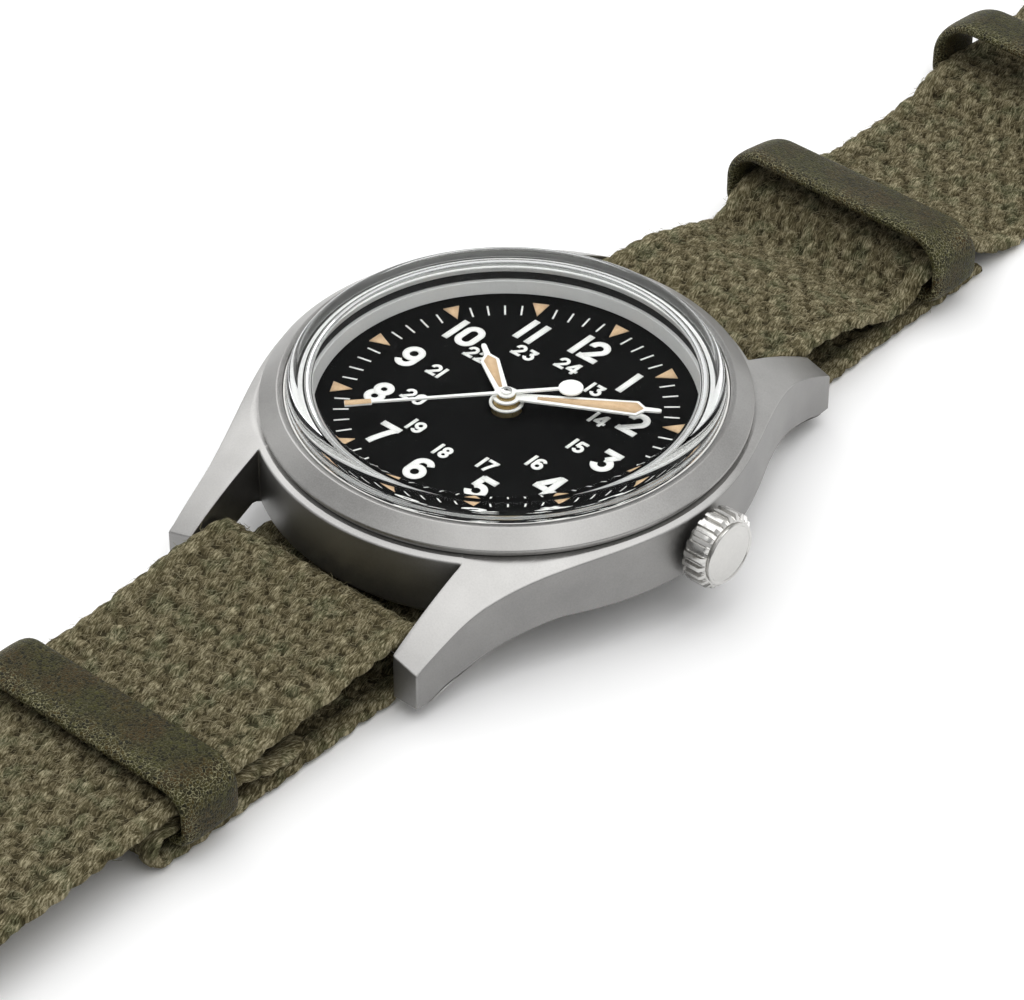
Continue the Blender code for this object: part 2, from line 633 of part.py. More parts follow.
def build_case():
    tip_radius = hypot(LUG_INNER_X + LUG_TIP_WIDTH, LUG_TIP_Y) + 0.5 * MM
    top = case_level(CASE_TOP)
    flat_radius = BEZEL_EDGE_RADIUS + 0.1 * MM
    shoulder = [flat_radius + (tip_radius - flat_radius) * i / 6 for i in range(7)]
    foot = case_level(LUG_FOOT)
    seat = case_level(CASE_SEAT)
    thread_radius = BACK_THREAD_RADIUS + FIT_GAP
    thread_top = seat + BACK_THREAD_HEIGHT + FIT_GAP
    profile = [(CASE_BORE_RADIUS, top)] + [(r, lug_top(r)) for r in shoulder]
    profile += [(tip_radius, foot), (tip_radius - LUG_FOOT_LENGTH, foot)]
    profile += [
        (CASE_UNDERCUT_RADIUS, case_level(CASE_UNDERCUT)),
        (CASE_RADIUS - 0.3 * MM, case_level(CASE_UNDERCUT) - 0.4 * MM),
    ]
    profile += [
        (CASE_RADIUS - 0.8 * MM, seat),
        (thread_radius, seat),
        (thread_radius, thread_top),
        (CASE_BORE_RADIUS, thread_top),
    ]
    body = extruded("mid_case", [case_plan()], foot - 1 * MM, top + 1 * MM, kind="blasted_steel")
    combine(body, "INTERSECT", turned("case_turning", profile, steps=TURN_STEPS + 16))
    for side in (1, -1):
        reach = LUG_INNER_X + BAR_PIVOT_LENGTH + 2 * FIT_GAP
        hole_radius = BAR_PIVOT_RADIUS + FIT_GAP
        place = {"centre": (0, side * BAR_Y, BAR_Z), "along_x": True, "steps": 12}
        cut(body, drum(f"lug_holes_{side}", hole_radius, -reach, reach, **place))
    tube_hole = {"centre": (0, 0, STEM_Z), "along_x": True}
    cut(
        body,
        drum(
            "tube_hole",
            TUBE_RADIUS + FIT_GAP,
            CASE_BORE_RADIUS - 1 * MM,
            CASE_RADIUS + 1 * MM,
            **tube_hole,
        ),
    )
    groove = (GASKET_RADIUS - GASKET_WIDTH / 2 - FIT_GAP, GASKET_RADIUS + GASKET_WIDTH / 2 + FIT_GAP)
    cut(body, ring("gasket_groove", *groove, seat - 1 * MM, seat + GASKET_HEIGHT + FIT_GAP))


def build_case_back():
    seat = case_level(CASE_SEAT)
    under, flange = CASE_BACK_Z, seat - FIT_GAP
    neck = seat + BACK_THREAD_HEIGHT
    floor = case_level(BACK_FLOOR)
    neck_inner = CASE_BORE_RADIUS - 0.4 * MM
    profile = [
        (0, floor),
        (neck_inner, floor),
        (neck_inner, neck),
        (BACK_THREAD_RADIUS, neck),
        (BACK_THREAD_RADIUS, flange),
    ]
    profile += [
        (BACK_RADIUS, flange),
        (BACK_RADIUS, under + 0.3 * MM),
        (BACK_RADIUS - 0.5 * MM, under),
        (0, under),
    ]
    back = turned("case_back", profile, "blasted_steel")
    for i in range(BACK_NOTCH_COUNT):
        notch = block(
            f"back_notch_{i}",
            (BACK_RADIUS - BACK_NOTCH, -BACK_NOTCH, under - 1 * MM),
            (BACK_RADIUS + 1 * MM, BACK_NOTCH, under + 0.35 * MM),
        )
        notch.rotation_euler = (0, 0, 2 * pi * (i + 0.5) / BACK_NOTCH_COUNT)
        cut(back, notch)
    half = GASKET_WIDTH / 2
    ring(
        "case_back_gasket",
        GASKET_RADIUS - half,
        GASKET_RADIUS + half,
        seat,
        seat + GASKET_HEIGHT,
        "black_rubber",
    )


def build_spring_bars():
    barrel = LUG_INNER_X - 2 * FIT_GAP
    reach = LUG_INNER_X + BAR_PIVOT_LENGTH
    half = [(0, reach), (BAR_PIVOT_RADIUS, reach), (BAR_PIVOT_RADIUS, barrel), (BAR_RADIUS, barrel)]
    profile = half + [(radius, -x) for radius, x in reversed(half)]
    for name, side in (("spring_bar_12", 1), ("spring_bar_6", -1)):
        turned(name, profile, "polished_steel", centre=(0, side * BAR_Y, BAR_Z), along_x=True, steps=16)


def build_bezel_and_crystal():
    top, edge = case_level(BEZEL_TOP), case_level(BEZEL_EDGE)
    rest = case_level(CASE_TOP) + FIT_GAP
    bottom = case_level(CRYSTAL_TOP) - CRYSTAL_THICKNESS
    bore = CRYSTAL_RADIUS + CRYSTAL_GASKET_WIDTH + 2 * FIT_GAP
    groove = rest + BEZEL_GROOVE_HEIGHT
    profile = [(bore, top), (BEZEL_TOP_RADIUS, top), (BEZEL_EDGE_RADIUS, edge), (BEZEL_EDGE_RADIUS, groove)]
    profile += [(BEZEL_GROOVE_RADIUS, groove), (BEZEL_GROOVE_RADIUS, rest), (BEZEL_LEDGE_RADIUS, rest)]
    profile += [(BEZEL_LEDGE_RADIUS, bottom - FIT_GAP), (bore, bottom - FIT_GAP)]
    turned("bezel", profile, "blasted_steel")
    gasket = (CRYSTAL_RADIUS + FIT_GAP, CRYSTAL_RADIUS + FIT_GAP + CRYSTAL_GASKET_WIDTH)
    ring("crystal_gasket", *gasket, bottom, top - 0.1 * MM, "black_rubber")
    crown = case_level(CRYSTAL_TOP)
    shoulder = arc((CRYSTAL_RADIUS - CRYSTAL_SHOULDER, crown - CRYSTAL_SHOULDER), CRYSTAL_SHOULDER, 90, 0, 6)
    turned("crystal", [(0, crown)] + shoulder + [(CRYSTAL_RADIUS, bottom), (0, bottom)], "sapphire")
    ledge = bottom - FIT_GAP
    foot = DIAL_Z + FIT_GAP
    outer = CASE_BORE_RADIUS - 2 * FIT_GAP
    rehaut = [(REHAUT_TOP_RADIUS, ledge), (outer, ledge), (outer, foot), (REHAUT_FOOT_RADIUS, foot)]
    turned("rehaut_ring", rehaut, "satin_silver")


def build_dial():
    ring("dial", DIAL_HOLE_RADIUS, DIAL_RADIUS, DIAL_Z - DIAL_THICKNESS, DIAL_Z, "matt_black")


# Hands

def syringe_outline(length, width, root, neck, shoulder, hub):
    """A hand that widens to a shoulder and ends in a thin needle, pointing along +Y from its hub."""
    needle = 0.14 * MM
    right = [(needle, length), (needle * 1.4, neck), (width / 2, shoulder)]
    half_root = root / 2
    start = 90 - atan2(half_root, sqrt(hub ** 2 - half_root ** 2)) * 180 / pi
    hub_arc = arc((0, 0), hub, start, start - 360 + 2 * (90 - start), 20)
    left = [(-x, y) for x, y in reversed(right)]
    return right + hub_arc + left


def hand(name, outlines, height, angle, kind="white_lacquer"):
    low = DIAL_Z + height
    turn = Matrix.Rotation(-angle, 4, "Z")
    return extruded(name, outlines, low, low + HAND_THICKNESS, kind, matrix=turn)


MINUTE_OF_DAY = CLOCK_HOURS * 60 + CLOCK_MINUTES + CLOCK_SECONDS / 60


def build_hands():
    shoulder = 0.71 * HOUR_HAND_LENGTH
    outline = syringe_outline(
        HOUR_HAND_LENGTH, HOUR_HAND_WIDTH, 0.9 * MM, 0.82 * HOUR_HAND_LENGTH, shoulder, HOUR_HUB_RADIUS
    )
    hole = circle((0, 0), HOUR_PIPE_RADIUS + FIT_GAP)
    hand("hour_hand", [outline, hole], HOUR_HAND_HEIGHT, 2 * pi * MINUTE_OF_DAY / 720)
    shoulder = 0.845 * MINUTE_HAND_LENGTH
    outline = syringe_outline(
        MINUTE_HAND_LENGTH,
        MINUTE_HAND_WIDTH,
        0.78 * MM,
        0.895 * MINUTE_HAND_LENGTH,
        shoulder,
        MINUTE_HUB_RADIUS,
    )
    hole = circle((0, 0), CANNON_RADIUS + FIT_GAP)
    hand("minute_hand", [outline, hole], MINUTE_HAND_HEIGHT, 2 * pi * MINUTE_OF_DAY / 60)
    needle = 0.12 * MM
    lume = 0.27 * MM
    lume_start = SECONDS_HAND_LENGTH - 2 * MM
    right = [
        (0.1 * MM, SECONDS_HAND_LENGTH),
        (lume, SECONDS_HAND_LENGTH - 0.6 * MM),
        (lume, lume_start),
        (needle, lume_start),
    ]
    side = 90 - 180 / pi * needle / SECONDS_HUB_RADIUS
    right += arc((0, 0), SECONDS_HUB_RADIUS, side, -side, 9)
    neck = 180 / pi * needle / COUNTERWEIGHT_RADIUS
    right += arc((0, -COUNTERWEIGHT_FROM_CENTRE), COUNTERWEIGHT_RADIUS, 90 - neck, -90, 10)
    left = [(-x, y) for x, y in reversed(right[:-1])]
    hole = circle((0, 0), SECONDS_ARBOR_RADIUS + FIT_GAP, 10)
    hand("seconds_hand", [right + left, hole], SECONDS_HAND_HEIGHT, 2 * pi * CLOCK_SECONDS / 60)


# Crown

def build_crown():
    pitch = 360 / CROWN_FLUTES
    outline = []
    for i in range(CROWN_FLUTES):
        for share, depth in ((0.0, 0), (0.42, 0), (0.56, 1), (0.86, 1)):
            angle = radians(pitch * (i + share))
            outline.append(from_axis(CROWN_RADIUS - depth * CROWN_FLUTE_DEPTH, angle))
    place = Matrix.Translation((0, 0, STEM_Z)) @ CROWN_VIEW
    crown = extruded("crown", [outline], CROWN_X, CROWN_X + CROWN_LENGTH, "polished_steel", matrix=place)
    face = CROWN_X + CROWN_LENGTH + CROWN_CAP_HEIGHT
    rim = face - 0.25 * MM
    cap = [(0, face), (1.3 * MM, face - 0.04 * MM), (CROWN_FACE_RADIUS - 0.2 * MM, face - 0.12 * MM)]
    cap += [(CROWN_FACE_RADIUS, rim), (CROWN_FACE_RADIUS, CROWN_X + 1 * MM), (0, CROWN_X + 1 * MM)]
    along = {"centre": (0, 0, STEM_Z), "along_x": True}
    fuse(crown, turned("crown_cap", cap, steps=32, **along))
    recess = CROWN_X + 0.68 * CROWN_LENGTH
    cut(crown, drum("crown_recess", CROWN_RECESS_RADIUS, CROWN_X - 1 * MM, recess, **along))
    cut(crown, drum("stem_socket", STEM_RADIUS + FIT_GAP, CROWN_X, recess + 0.6 * MM, **along))
    stem_end = WINDING_PINION_X - 1.1 * MM
    drum("winding_stem", STEM_RADIUS, stem_end, recess + 0.55 * MM, "polished_steel", steps=12, **along)
    tube_out = recess - 0.15 * MM
    ring(
        "crown_tube",
        TUBE_BORE_RADIUS,
        TUBE_RADIUS,
        CASE_BORE_RADIUS + 0.4 * MM,
        tube_out,
        "polished_steel",
        steps=SMALL_STEPS,
        **along,
    )
    gasket = (TUBE_RADIUS + RUNNING_GAP, CROWN_RECESS_RADIUS - FIT_GAP)
    middle = (CROWN_X + tube_out) / 2
    ring(
        "crown_gasket",
        *gasket,
        middle - 0.2 * MM,
        middle + 0.2 * MM,
        "black_rubber",
        steps=SMALL_STEPS,
        **along,
    )


# Movement

def pitch_radius(teeth, module):
    return teeth * module / 2


def tip_radius(teeth, module):
    return pitch_radius(teeth, module) + TOOTH_ADDENDUM * module


def gear_outline(teeth, module, phase, centre=(0, 0)):
    """Pointed teeth, with one tooth at the phase angle."""
    tip = tip_radius(teeth, module)
    root = pitch_radius(teeth, module) - TOOTH_DEDENDUM * module
    points = []
    for i in range(2 * teeth):
        x, y = from_axis(root if i % 2 else tip, phase + pi * i / teeth)
        points.append((centre[0] + x, centre[1] + y))
    return points


def gap_phase(teeth, towards):
    """The phase that puts a gap between two teeth at an angle, to take a neighbour's tooth."""
    return towards + pi / teeth


BARREL_AT = from_axis(pitch_radius(BARREL_TEETH + CENTRE_PINION_TEETH, BARREL_MODULE), BARREL_ANGLE)
THIRD_DISTANCE = pitch_radius(CENTRE_TEETH + THIRD_PINION_TEETH, CENTRE_MODULE)
THIRD_AT = from_axis(THIRD_DISTANCE, THIRD_ANGLE)
THIRD_MODULE = 2 * THIRD_DISTANCE / (THIRD_TEETH + FOURTH_PINION_TEETH)
ESCAPE_AT = from_axis(pitch_radius(FOURTH_TEETH + ESCAPE_PINION_TEETH, FOURTH_MODULE), ESCAPE_ANGLE)
MINUTE_AT = from_axis(pitch_radius(CANNON_TEETH + MINUTE_TEETH, MOTION_MODULE), MINUTE_ANGLE)
WINDING_DISTANCE = pitch_radius(RATCHET_TEETH + CROWN_WHEEL_TEETH, WINDING_MODULE)
CROWN_WHEEL_AT = (BARREL_AT[0] + sqrt(WINDING_DISTANCE ** 2 - BARREL_AT[1] ** 2), 0)
WINDING_PINION_X = CROWN_WHEEL_AT[0] + pitch_radius(CROWN_WHEEL_TEETH, WINDING_MODULE)
FORK_AT = tuple(a + b for a, b in zip(ESCAPE_AT, from_axis(FORK_FROM_ESCAPE, ESCAPEMENT_ANGLE)))
BALANCE_AT = tuple(a + b for a, b in zip(FORK_AT, from_axis(FORK_FROM_BALANCE, ESCAPEMENT_ANGLE)))
COCK_FOOT_AT = from_axis(PLATE_RADIUS - 1.4 * MM, COCK_FOOT_ANGLE)
PIVOT_TOP = PLATE_LOW + 0.5 * MM
PIVOT_LOW = BRIDGE_LOW + 0.2 * MM

def gear(name, teeth, module, level, phase, at=(0, 0), kind=None, hole=None):
    outlines = [gear_outline(teeth, module, phase, at)]
    if hole:
        outlines.append(circle(at, hole, 12))
    return extruded(name, outlines, case_level(level[0]), case_level(level[1]), kind)


def arbor(name, steps_down, at=(0, 0), kind=None):
    """A stepped shaft: (radius, upper end, lower end) from the dial side down."""
    profile = [(0, case_level(steps_down[0][1]))]
    for radius, upper, lower in steps_down:
        profile += [(radius, case_level(upper)), (radius, case_level(lower))]
    profile.append((0, case_level(steps_down[-1][2])))
    return turned(name, profile, kind, centre=(*at, 0), steps=12)


def pivot_steps(upper, lower, radius=ARBOR_RADIUS):
    """A shaft with thin pivots at both ends, in the main plate and in the bridge."""
    return [
        (PIVOT_RADIUS, upper, PLATE_LOW + 0.1 * MM),
        (radius, PLATE_LOW - FIT_GAP, lower + 0.25 * MM),
        (PIVOT_RADIUS, lower + 0.25 * MM, lower),
    ]


def build_going_train():
    towards_barrel = BARREL_ANGLE
    barrel = gear(
        "barrel", BARREL_TEETH, BARREL_MODULE, BARREL_LEVEL, towards_barrel + pi, BARREL_AT, "brass"
    )
    drum_radius = pitch_radius(BARREL_TEETH, BARREL_MODULE) - 2.6 * BARREL_MODULE
    at_barrel = {"centre": (*BARREL_AT, 0)}
    spring_top = case_level(BARREL_LEVEL[1]) - 0.12 * MM
    cut(barrel, drum("spring_box", drum_radius, case_level(1 * MM), spring_top, steps=32, **at_barrel))
    shaft = BARREL_ARBOR_RADIUS
    cut(barrel, drum("barrel_eye", shaft + RUNNING_GAP, case_level(1 * MM), case_level(4 * MM), **at_barrel))
    cover_low, cover_high = (case_level(z) for z in BARREL_COVER_LEVEL)
    ring(
        "barrel_cover",
        shaft + RUNNING_GAP,
        drum_radius - FIT_GAP,
        cover_low,
        cover_high,
        "brass",
        steps=32,
        **at_barrel,
    )
    steps = [
        (BARREL_PIVOT_RADIUS, PIVOT_TOP, PLATE_LOW - FIT_GAP),
        (shaft, PLATE_LOW - FIT_GAP, WINDING_LEVEL[0] - 0.1 * MM),
    ]
    steps.append((BARREL_PIVOT_RADIUS, WINDING_LEVEL[0] - 0.1 * MM, PIVOT_LOW))
    arbor("barrel_arbor", steps, BARREL_AT, "polished_steel")
    spiral(
        "mainspring",
        shaft + 0.3 * MM,
        drum_radius - 0.25 * MM,
        5,
        BARREL_AT,
        sum(BARREL_LEVEL) / 2,
        0.16 * MM,
        "polished_steel",
    )

    centre = gear("centre_wheel", CENTRE_TEETH, CENTRE_MODULE, CENTRE_LEVEL, THIRD_ANGLE, kind="brass")
    pinion_level = (CENTRE_LEVEL[0] - 0.02 * MM, BARREL_LEVEL[1])
    pinion = gear(
        "centre_pinion",
        CENTRE_PINION_TEETH,
        BARREL_MODULE,
        pinion_level,
        gap_phase(CENTRE_PINION_TEETH, towards_barrel),
    )
    pipe_top = DIAL_TOP + MINUTE_HAND_HEIGHT - 0.1 * MM
    pipe = arbor("centre_pipe", [(CENTRE_ARBOR_RADIUS, pipe_top, CENTRE_LEVEL[0] - 0.08 * MM)])
    fuse(centre, pinion, pipe)
    cut(
        centre,
        drum(
            "centre_bore",
            SECONDS_ARBOR_RADIUS + RUNNING_GAP,
            case_level(1 * MM),
            case_level(9 * MM),
            steps=12,
        ),
    )

    third = gear("third_wheel", THIRD_TEETH, THIRD_MODULE, THIRD_LEVEL, THIRD_ANGLE + pi, THIRD_AT, "brass")
    pinion_level = (THIRD_LEVEL[0] + 0.02 * MM, CENTRE_LEVEL[1] + 0.1 * MM)
    phase = gap_phase(THIRD_PINION_TEETH, THIRD_ANGLE + pi)
    fuse(third, gear("third_pinion", THIRD_PINION_TEETH, CENTRE_MODULE, pinion_level, phase, THIRD_AT))
    fuse(third, arbor("third_arbor", pivot_steps(PIVOT_TOP, PIVOT_LOW), THIRD_AT))

    fourth = gear("fourth_wheel", FOURTH_TEETH, FOURTH_MODULE, FOURTH_LEVEL, ESCAPE_ANGLE, kind="brass")
    pinion_level = (FOURTH_LEVEL[0] + 0.02 * MM, THIRD_LEVEL[1] + 0.08 * MM)
    fuse(
        fourth,
        gear(
            "fourth_pinion",
            FOURTH_PINION_TEETH,
            THIRD_MODULE,
            pinion_level,
            gap_phase(FOURTH_PINION_TEETH, THIRD_ANGLE),
        ),
    )
    seconds_top = DIAL_TOP + SECONDS_HAND_HEIGHT + HAND_THICKNESS + 0.1 * MM
    fuse(fourth, arbor("seconds_arbor", [(SECONDS_ARBOR_RADIUS, seconds_top, PIVOT_LOW)]))

    escape_teeth = [radius for _ in range(ESCAPE_TEETH) for radius in (ESCAPE_RADIUS, 0.78 * ESCAPE_RADIUS)]
    outline = [from_axis(radius, pi * i / ESCAPE_TEETH) for i, radius in enumerate(escape_teeth)]
    at = Matrix.Translation((*ESCAPE_AT, 0))
    escape = extruded(
        "escape_wheel",
        [outline],
        *(case_level(z) for z in ESCAPE_LEVEL),
        kind="polished_steel",
        matrix=at,
    )
    pinion_level = (FOURTH_LEVEL[0] - 0.06 * MM, FOURTH_LEVEL[1] + 0.06 * MM)
    phase = gap_phase(ESCAPE_PINION_TEETH, ESCAPE_ANGLE + pi)
    fuse(escape, gear("escape_pinion", ESCAPE_PINION_TEETH, FOURTH_MODULE, pinion_level, phase, ESCAPE_AT))
    fuse(
        escape,
        arbor("escape_arbor", pivot_steps(PIVOT_TOP, PIVOT_LOW, PIVOT_RADIUS + 0.02 * MM), ESCAPE_AT),
    )


def spiral(name, inner, outer, turns, at, level, thickness, kind):
    """A flat coiled spring, as one unbroken wire."""
    curve = bpy.data.curves.new(name, "CURVE")
    curve.dimensions = "3D"
    curve.bevel_depth = thickness / 2
    curve.bevel_resolution = 0
    curve.use_fill_caps = True
    count = 16 * turns
    wire = curve.splines.new("POLY")
    wire.points.add(count)
    for i, point in enumerate(wire.points):
        x, y = from_axis(inner + (outer - inner) * i / count, 2 * pi * i / 16)
        point.co = (x, y, 0, 1)
    curve.materials.append(finish(name, kind))
    obj = bpy.data.objects.new(name, curve)
    obj.location = (*at, case_level(level))
    PARTS.objects.link(obj)


def build_escapement():
    low, high = (case_level(z) for z in ESCAPE_LEVEL)
    lever = FORK_FROM_BALANCE - 0.55 * MM
    half = [(lever, 0.12 * MM), (lever, 0.26 * MM), (lever - 0.5 * MM, 0.16 * MM), (0.25 * MM, 0.16 * MM)]
    half += [(0.2 * MM, 1.15 * MM), (-0.75 * MM, 1.1 * MM), (-0.7 * MM, 0.85 * MM), (-0.18 * MM, 0.7 * MM)]
    outline = half + [(x, -y) for x, y in reversed(half)] + [(lever - 0.35 * MM, 0)]
    place = Matrix.Translation((*FORK_AT, 0)) @ Matrix.Rotation(ESCAPEMENT_ANGLE, 4, "Z")
    fork = extruded("pallet_fork", [outline], low, high, "polished_steel", matrix=place)
    fuse(fork, arbor("fork_arbor", pivot_steps(PIVOT_TOP, PIVOT_LOW), FORK_AT))

    low, high = (case_level(z) for z in BALANCE_LEVEL)
    rim = BALANCE_RADIUS
    at = {"centre": (*BALANCE_AT, 0)}
    balance = ring("balance_wheel", rim - 0.45 * MM, rim, low, high, "brass", steps=40, **at)
    arm = block(
        "balance_arm",
        (-rim + 0.2 * MM, -0.3 * MM, low + 0.06 * MM),
        (rim - 0.2 * MM, 0.3 * MM, high - 0.06 * MM),
    )
    arm.location = (*BALANCE_AT, 0)
    roller = [
        (PIVOT_RADIUS, PIVOT_TOP, PLATE_LOW + 0.1 * MM),
        (0.16 * MM, PLATE_LOW - FIT_GAP, ESCAPE_LEVEL[1]),
    ]
    roller += [
        (0.3 * MM, ESCAPE_LEVEL[1], ESCAPE_LEVEL[0]),
        (0.16 * MM, ESCAPE_LEVEL[0], PIVOT_LOW + 0.45 * MM),
    ]
    roller.append((PIVOT_RADIUS, PIVOT_LOW + 0.45 * MM, PIVOT_LOW))
    fuse(balance, arm, arbor("balance_staff", roller, BALANCE_AT))
    spiral(
        "hairspring",
        0.35 * MM,
        HAIRSPRING_RADIUS,
        HAIRSPRING_TURNS,
        BALANCE_AT,
        HAIRSPRING_LEVEL,
        0.1 * MM,
        "blued_steel",
    )


def build_motion_work():
    low, high = (case_level(z) for z in MINUTE_LEVEL)
    cannon = gear(
        "cannon_pinion",
        CANNON_TEETH,
        MOTION_MODULE,
        MINUTE_LEVEL,
        gap_phase(CANNON_TEETH, MINUTE_ANGLE),
        kind="brass",
    )
    cannon_top = DIAL_TOP + MINUTE_HAND_HEIGHT + HAND_THICKNESS + 0.05 * MM
    fuse(cannon, arbor("cannon_pipe", [(CANNON_RADIUS, cannon_top, MINUTE_LEVEL[0])]))
    cut(
        cannon,
        drum("cannon_bore", CENTRE_ARBOR_RADIUS + FIT_GAP, low - 1 * MM, case_level(9 * MM), steps=12),
    )

    minute = gear(
        "minute_wheel", MINUTE_TEETH, MOTION_MODULE, MINUTE_LEVEL, MINUTE_ANGLE + pi, MINUTE_AT, "brass"
    )
    pinion_level = (MINUTE_LEVEL[1] - 0.02 * MM, HOUR_LEVEL[1])
    phase = gap_phase(MINUTE_PINION_TEETH, MINUTE_ANGLE + pi)
    fuse(minute, gear("minute_pinion", MINUTE_PINION_TEETH, MOTION_MODULE, pinion_level, phase, MINUTE_AT))
    fuse(
        minute,
        arbor(
            "minute_post",
            [(0.25 * MM, HOUR_LEVEL[1] - 0.02 * MM, MOTION_WORK_FLOOR - 0.4 * MM)],
            MINUTE_AT,
        ),
    )

    hour = gear("hour_wheel", HOUR_TEETH, MOTION_MODULE, HOUR_LEVEL, MINUTE_ANGLE, kind="brass")
    hour_top = DIAL_TOP + HOUR_HAND_HEIGHT + HAND_THICKNESS + 0.05 * MM
    fuse(hour, arbor("hour_pipe", [(HOUR_PIPE_RADIUS, hour_top, HOUR_LEVEL[0])]))
    cut(hour, drum("hour_bore", CANNON_RADIUS + RUNNING_GAP, high, case_level(9 * MM), steps=12))


def build_winding_work():
    shaft = BARREL_ARBOR_RADIUS + FIT_GAP
    towards = atan2(CROWN_WHEEL_AT[1] - BARREL_AT[1], CROWN_WHEEL_AT[0] - BARREL_AT[0])
    gear(
        "ratchet_wheel",
        RATCHET_TEETH,
        WINDING_MODULE,
        WINDING_LEVEL,
        towards,
        BARREL_AT,
        "polished_steel",
        hole=shaft,
    )
    phase = gap_phase(CROWN_WHEEL_TEETH, towards + pi)
    crown_wheel = gear(
        "crown_wheel",
        CROWN_WHEEL_TEETH,
        WINDING_MODULE,
        WINDING_LEVEL,
        phase,
        CROWN_WHEEL_AT,
        "polished_steel",
    )
    fuse(
        crown_wheel,
        arbor(
            "crown_wheel_post",
            [(CROWN_WHEEL_POST_RADIUS, WINDING_LEVEL[1] - 0.02 * MM, PIVOT_LOW)],
            CROWN_WHEEL_AT,
        ),
    )
    module = 2 * WINDING_PINION_RADIUS / (WINDING_PINION_TEETH + 2 * TOOTH_ADDENDUM)
    place = Matrix.Translation((0, 0, STEM_Z)) @ CROWN_VIEW
    bore = circle((0, 0), STEM_RADIUS + FIT_GAP, 12)
    outline = gear_outline(WINDING_PINION_TEETH, module, 0)
    span = (WINDING_PINION_X - 0.55 * MM, WINDING_PINION_X + 0.55 * MM)
    extruded("winding_pinion", [outline, bore], *span, kind="polished_steel", matrix=place)
    along = {"centre": (0, 0, STEM_Z), "along_x": True, "steps": SMALL_STEPS}
    start = span[1] + SLIDING_PINION_ROOM
    ring(
        "sliding_pinion",
        STEM_RADIUS + FIT_GAP,
        0.85 * MM,
        start,
        start + 1.4 * MM,
        "polished_steel",
        **along,
    )


def capsule(start, end, radius):
    """An outline with round ends about two points."""
    angle = atan2(end[1] - start[1], end[0] - start[0]) * 180 / pi
    return arc(end, radius, angle - 90, angle + 90, 9) + arc(start, radius, angle + 90, angle + 270, 9)


def pivot_hole(target, name, at, radius, low, high):
    cut(target, drum(f"{name}_hole", radius, case_level(low), case_level(high), centre=(*at, 0), steps=12))


def stem_room(name, low, high):
    """The space for the winding and sliding pinions, open towards 3 o'clock."""
    half = WINDING_PINION_RADIUS + POCKET_GAP
    return block(
        name,
        (WINDING_PINION_X - 0.7 * MM, -half, case_level(low)),
        (PLATE_RADIUS + 1 * MM, half, case_level(high)),
    )


TRAIN_PIVOTS = (("third", THIRD_AT), ("escape", ESCAPE_AT), ("fork", FORK_AT))


